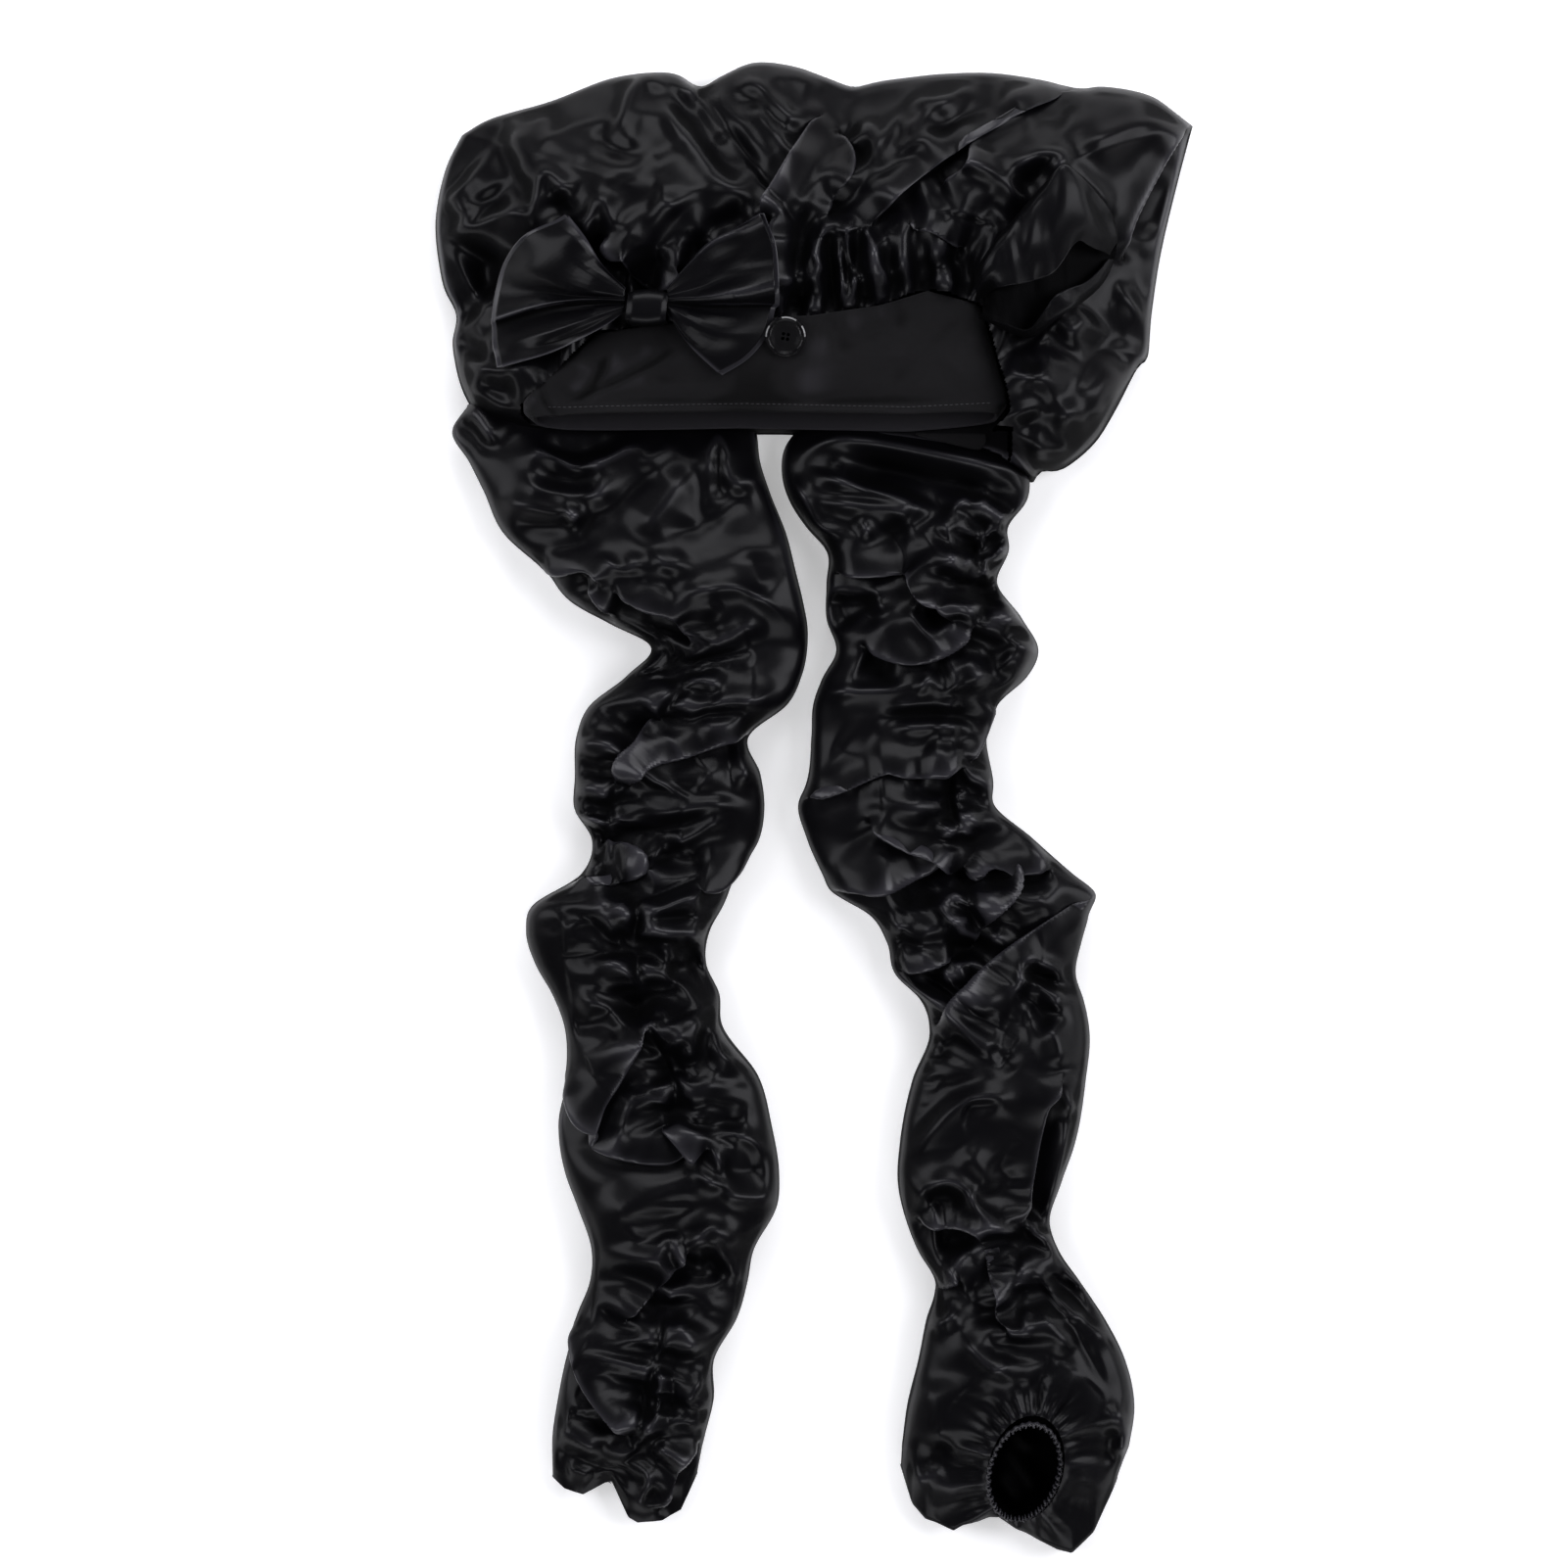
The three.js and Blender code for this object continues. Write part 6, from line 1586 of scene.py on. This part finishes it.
# %% A tongue of lining
TONGUE_TOP = [(54.5, 197.3), (65, 197.2), (78, 197.2), (91.5, 197.2)]
TONGUE_LOW = [(56, 196), (66, 193.4), (78, 190.4), (86, 188.6), (89.5, 189.2), (91.6, 193)]
TONGUE_HEIGHT = 30.4
tongue_rows = []
for s in np.linspace(0, 1, 10):
    line = (1 - s) * spaced(TONGUE_LOW, 60) + s * spaced(TONGUE_TOP, 60)
    curl = TONGUE_HEIGHT + 0.5 * np.sin(math.pi * s) + 0.2 * np.sin(line[:, 0] / 4)
    tongue_rows.append(np.column_stack([line, curl]))
tongue = skin_mesh("lining_corner_cloth", np.array(tongue_rows), jersey)
outwards(tongue, np.array([0.075, 0.194, -0.1]))
solidify(mark_fold_light_and_shade(tongue), 0.6)
stand_in(tongue, "lining_corner")

# %% [markdown]
# ## The elastic hems
# A narrow elastic is sewn into each sleeve's opening, and the satin around it puckers into a frill. A torus
# with noise would look like a rope. Here the ring's section swells and shrinks with every pucker. The right
# hem faces up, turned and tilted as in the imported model, and the left one stands inside the sleeve's mouth.

# %% Puckered rings
HEM_AROUND, HEM_SECTION = 420, 18


def puckered_ring(centre, half_width, half_length, section, puckers, turn=0.0, slope=0.0, seed=0):
    """Rings of points round an ellipse. section is how deep and how high the puckered edge is."""
    rng = np.random.default_rng(seed)
    angle = np.linspace(0, 2 * math.pi, HEM_AROUND, endpoint=False)
    knots = (np.arange(puckers) + rng.uniform(-0.3, 0.3, puckers)) / puckers * 2 * math.pi
    phase = np.interp(angle, np.r_[0, knots[1:], 2 * math.pi], np.arange(puckers + 1) * 2 * math.pi)
    swell = 0.72 + 0.28 * np.sin(phase)
    wander = 0.35 * np.sin(phase / 2 + 1)
    around = np.linspace(0, 2 * math.pi, HEM_SECTION, endpoint=False)
    depth = (section[0] * swell)[:, None] * (np.cos(around) - 1) + wander[:, None]
    rise = (section[1] * swell)[:, None] * np.sin(around)
    x = (half_width + depth) * np.sin(angle)[:, None]
    y = (half_length + depth) * np.cos(angle)[:, None]
    flat = np.stack([x, y, rise], 2).reshape(-1, 3)
    c, s = math.cos(math.radians(turn)), math.sin(math.radians(turn))
    flat = flat @ np.array([[c, -s, 0], [s, c, 0], [0, 0, 1]]).T
    c, s = math.cos(math.radians(slope)), math.sin(math.radians(slope))
    flat = flat @ np.array([[1, 0, 0], [0, c, -s], [0, s, c]]).T
    return (flat + centre).reshape(HEM_AROUND, HEM_SECTION, 3)


def ring_piece(name, rings):
    rings = np.concatenate([rings, rings[:1]], 0)
    rows, columns = rings.shape[:2]
    quads = grid_faces(rows - 1, columns, closed=True)
    last, first = (rows - 2) * columns + np.arange(columns), np.arange(columns)
    seam = np.stack([last, first, np.roll(first, -1), np.roll(last, -1)], 1)
    quads = np.vstack([quads, seam])
    points = rings[:-1].reshape(-1, 3)
    piece = cloth_mesh(name, points, quads, points[quads][:, :, :2].reshape(-1, 2) * MM, satin)
    work = bmesh.new()
    work.from_mesh(piece.data)
    bmesh.ops.recalc_face_normals(work, faces=work.faces)
    work.to_mesh(piece.data)
    work.free()
    return mark_fold_light_and_shade(piece, full_mm=0.35)


right_hem_rings = puckered_ring((112, -352, 28), 20, 30, (1.5, 2.4), 62, turn=-12, slope=20, seed=2)
right_hem = ring_piece("hem_right_cloth", right_hem_rings)
hem_low, hem_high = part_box("hem_left")
hem_middle = [(a + b) / 2 / MM for a, b in zip(hem_low, hem_high)]
hem_middle[1] = hem_high[1] / MM - 3.0  # just inside the sleeve's end
left_hem_rings = puckered_ring(hem_middle, (hem_high[0] - hem_low[0]) / 2 / MM - 0.6,
                               (hem_high[2] - hem_low[2]) / 2 / MM - 0.2, (0.9, 2.6), 44, slope=90, seed=3)
left_hem = ring_piece("hem_left_cloth", left_hem_rings)
stand_in(right_hem, "hem_right")
stand_in(left_hem, "hem_left")

# %% [markdown]
# ## Stitches
# The hems are sewn with a zigzag, whose thread catches the light, and the band's front fold with a plain row.
# An Array modifier on a curve could repeat a stitch, but not turn every second one the other way. So one
# Geometry Nodes group walks along a line and sets a short length of thread at each step. Its inputs are
# sizes, and it makes both kinds of row.

# %% Thread, and a node group that sews along a line
thread_black, _ = new_material(
    "black thread", {"Base Color": (0.030, 0.029, 0.033, 1), "Roughness": 0.45, "Specular IOR Level": 0.5})
GEOMETRY = "NodeSocketGeometry"
sewing, enter, leave = new_group(
    "sewn row", "GeometryNodeTree",
    [("Geometry", GEOMETRY, None), ("Step", FLOAT, 0.002), ("Length", FLOAT, 0.0016),
     ("Thickness", FLOAT, 0.0002), ("Turn", FLOAT, 0.0), ("Material", "NodeSocketMaterial", None)],
    [("Geometry", GEOMETRY)],
)
add = adder(sewing)
curve, walk = add("GeometryNodeMeshToCurve"), add("GeometryNodeResampleCurve", mode="LENGTH")
bead = add("GeometryNodeMeshUVSphere", {"Segments": 6, "Rings": 5})
stretch = add("ShaderNodeMath", operation="DIVIDE")
half_stretch = add("ShaderNodeMath", {1: 0.5}, operation="MULTIPLY")
size = add("ShaderNodeCombineXYZ", {"X": 1.0, "Y": 1.0})
tangent, index_node = add("GeometryNodeInputTangent"), add("GeometryNodeInputIndex")
aligned = add("FunctionNodeAlignRotationToVector", axis="Z")
odd = add("ShaderNodeMath", {1: 2.0}, operation="MODULO")
swing = add("ShaderNodeMath", {1: 2.0, 2: -1.0}, operation="MULTIPLY_ADD")  # 0 and 1 become -1 and 1
angle = add("ShaderNodeMath", operation="MULTIPLY")
upright = add("FunctionNodeAxisAngleToRotation", {"Axis": (0, 0, 1)})
turned = add("FunctionNodeRotateRotation", rotation_space="GLOBAL")
sewn = add("GeometryNodeInstanceOnPoints")
whole, painted = add("GeometryNodeRealizeInstances"), add("GeometryNodeSetMaterial")
wire(
    sewing,
    (enter, "Geometry", curve, "Mesh"), (curve, "Curve", walk, "Curve"), (enter, "Step", walk, "Length"),
    (enter, "Thickness", bead, "Radius"), (enter, "Length", stretch, 0), (enter, "Thickness", stretch, 1),
    (stretch, "Value", half_stretch, 0), (half_stretch, "Value", size, "Z"),
    (tangent, "Tangent", aligned, "Vector"), (index_node, "Index", odd, 0), (odd, "Value", swing, 0),
    (swing, "Value", angle, 0), (enter, "Turn", angle, 1), (angle, "Value", upright, "Angle"),
    (aligned, "Rotation", turned, "Rotation"), (upright, "Rotation", turned, "Rotate By"),
    (walk, "Curve", sewn, "Points"), (bead, "Mesh", sewn, "Instance"), (turned, "Rotation", sewn, "Rotation"),
    (size, "Vector", sewn, "Scale"), (sewn, "Instances", whole, "Geometry"),
    (whole, "Geometry", painted, "Geometry"), (enter, "Material", painted, "Material"),
    (painted, "Geometry", leave, "Geometry"),
)
print("group:", sewing.name, len(sewing.nodes), "nodes")


# %% A row of stitches as a plain mesh
def sew(name, line_mm, sizes, turn, closed=False):
    """A row of stitches along a line of points. sizes are its step, length and thickness in millimetres."""
    count = len(line_mm)
    edges = [(k, k + 1) for k in range(count - 1)] + ([(count - 1, 0)] if closed else [])
    mesh = bpy.data.meshes.new(name)
    mesh.from_pydata((np.asarray(line_mm) * MM).tolist(), edges, [])
    row = bpy.data.objects.new(name, mesh)
    bpy.context.scene.collection.objects.link(row)
    modifier = row.modifiers.new("sewn row", "NODES")
    modifier.node_group = sewing
    sockets = {item.name: item.identifier for item in sewing.interface.items_tree if item.in_out == "INPUT"}
    for label, value in zip(("Step", "Length", "Thickness"), sizes):
        modifier[sockets[label]] = value * MM
    modifier[sockets["Turn"]], modifier[sockets["Material"]] = turn, thread_black
    row.update_tag()
    bpy.context.view_layer.update()
    plain = bpy.data.meshes.new_from_object(row.evaluated_get(bpy.context.evaluated_depsgraph_get()))
    row.modifiers.remove(modifier)
    row.data = plain
    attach(row, "root")
    return row


# %% Sew the rows
ZIGZAG = 0.75  # radians that each stitch leans from the row
STITCH_INSET = 3.2
top_of_section = HEM_SECTION // 4
right_line = right_hem_rings[:, top_of_section] + (0, 0, 0.15)
left_line = left_hem_rings[:, top_of_section] + (0, -0.15, 0)
right_stitches = sew("hem_right_stitches", right_line, (1.5, 2.0, 0.26), ZIGZAG, closed=True)
left_stitches = sew("hem_left_stitches", left_line, (1.6, 2.0, 0.24), ZIGZAG, closed=True)
on_band = landing_on(band)
band_row = []
for x in np.linspace(-138, 92, 240):
    y = float(np.interp(x, *np.array(BAND_FRONT).T)) + BAND_BACK_DROP + STITCH_INSET
    band_row.append((x, y, on_band(x, y) + 0.1))
band_stitches = sew("band_stitches", band_row, (2.8, 1.9, 0.16), 0.0)
print("stitch faces:", [len(o.data.polygons) for o in (right_stitches, left_stitches, band_stitches)])

# %% [markdown]
# ## The button
# The button is a hard part with exact edges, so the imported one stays, with its own mesh. The cloth's group
# could paint it too, but there are no folds on it. It gets a plastic with a harder gloss, and a noise in
# Object coordinates makes its roughness wander a little, so that it isn't a perfect mirror.

# %% Button plastic
plastic, plastic_surface = new_material(
    "black button plastic", {"Base Color": (0.0030, 0.0028, 0.0034, 1), "Specular IOR Level": 0.8})
add = adder(plastic.node_tree)
place_node, smudge = add("ShaderNodeTexCoord"), add("ShaderNodeTexNoise", {"Scale": 160.0, "Detail": 3.0})
polish = ramp(add, 0.3, 0.7, 0.10, 0.18)
wire(plastic.node_tree, (place_node, "Object", smudge, "Vector"), (smudge, "Fac", polish, "Value"),
     (polish, "Result", plastic_surface, "Roughness"))
for material_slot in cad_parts["button"].material_slots:
    material_slot.link = "OBJECT"
    material_slot.material = plastic
button_low, button_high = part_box("button")
print("button:", round((button_high[0] - button_low[0]) / MM, 1), "mm across")

# %% [markdown]
# ## The cloth pieces
# A real pattern would give these sizes. None is known here, so they are estimates from the finished pieces
# and the fullness of their folds.

# %% The cloth pieces
print("cloth pieces built")

# %% [markdown]
# ## Floor
# The bonnet lies on a pale light table. A white floor lit from outside would go grey between the sleeves,
# where they stand in its light. So the paper also gives off a little light of its own.

# %% Floor
floor_mesh = bpy.data.meshes.new("floor")
floor_mesh.from_pydata([(-3, -3, 0), (3, -3, 0), (3, 3, 0), (-3, 3, 0)], [], [(0, 1, 2, 3)])
floor = bpy.data.objects.new("floor", floor_mesh)
bpy.context.scene.collection.objects.link(floor)
paper, _ = new_material("white paper", {"Base Color": (0.93, 0.93, 0.93, 1), "Roughness": 0.9,
                                        "Emission Color": (1, 1, 1, 1), "Emission Strength": 0.35})
floor_mesh.materials.append(paper)
print("floor:", floor.name, [round(side, 1) for side in floor.dimensions[:2]], "m")

# %% [markdown]
# ## Lights
# Black satin shows the lamps more than its own colour. One big lamp above would turn every flat part grey. So
# four soft lamps stand low round the bonnet: folds catch them on their flanks, and flat satin stays black.

# %% Lights
COOL, MILD = (0.95, 0.95, 1.0), (0.96, 0.96, 1.0)


def area_light(name, place, size, power, colour):
    """A soft lamp that is aimed at the middle of the floor."""
    lamp = bpy.data.lights.new(name, "AREA")
    lamp.shape = "RECTANGLE"
    lamp.size, lamp.size_y = size
    lamp.energy, lamp.color = power, colour
    light = bpy.data.objects.new(name, lamp)
    light.location = place
    light.rotation_euler = (-Vector(place)).to_track_quat("-Z", "Y").to_euler()
    bpy.context.scene.collection.objects.link(light)


area_light("left softbox", (-2.2, 0.5, 1.7), (1.4, 2.6), 44, COOL)
area_light("right softbox", (2.2, 0.5, 1.7), (1.4, 2.6), 60, COOL)
area_light("top softbox", (0.2, 2.4, 1.7), (2.6, 1.3), 49, MILD)
area_light("foot softbox", (0.0, -2.5, 1.7), (2.6, 1.0), 31, MILD)
world = bpy.data.worlds.new("studio")
world.use_nodes = True
room = world.node_tree.nodes["Background"].inputs
room["Color"].default_value, room["Strength"].default_value = (1, 1, 1, 1), 0.05
bpy.context.scene.world = world
bpy.context.scene.view_settings.view_transform = "Standard"
print("lights:", len(bpy.data.lights))

# %% [markdown]
# ## Camera
# The camera hangs straight above the bonnet. A wide lens close by would show the sides of the folds at the
# edge of the picture, so it is a long lens from over two metres.

# %% Camera
lens = bpy.data.cameras.new("camera")
lens.lens, lens.sensor_width = 100, 36
camera = bpy.data.objects.new("camera", lens)
camera.location = (-0.0151, 0.0120, 2.3325)
bpy.context.scene.collection.objects.link(camera)
bpy.context.scene.camera = camera
bpy.context.view_layer.update()
print("camera:", lens.lens, "mm")
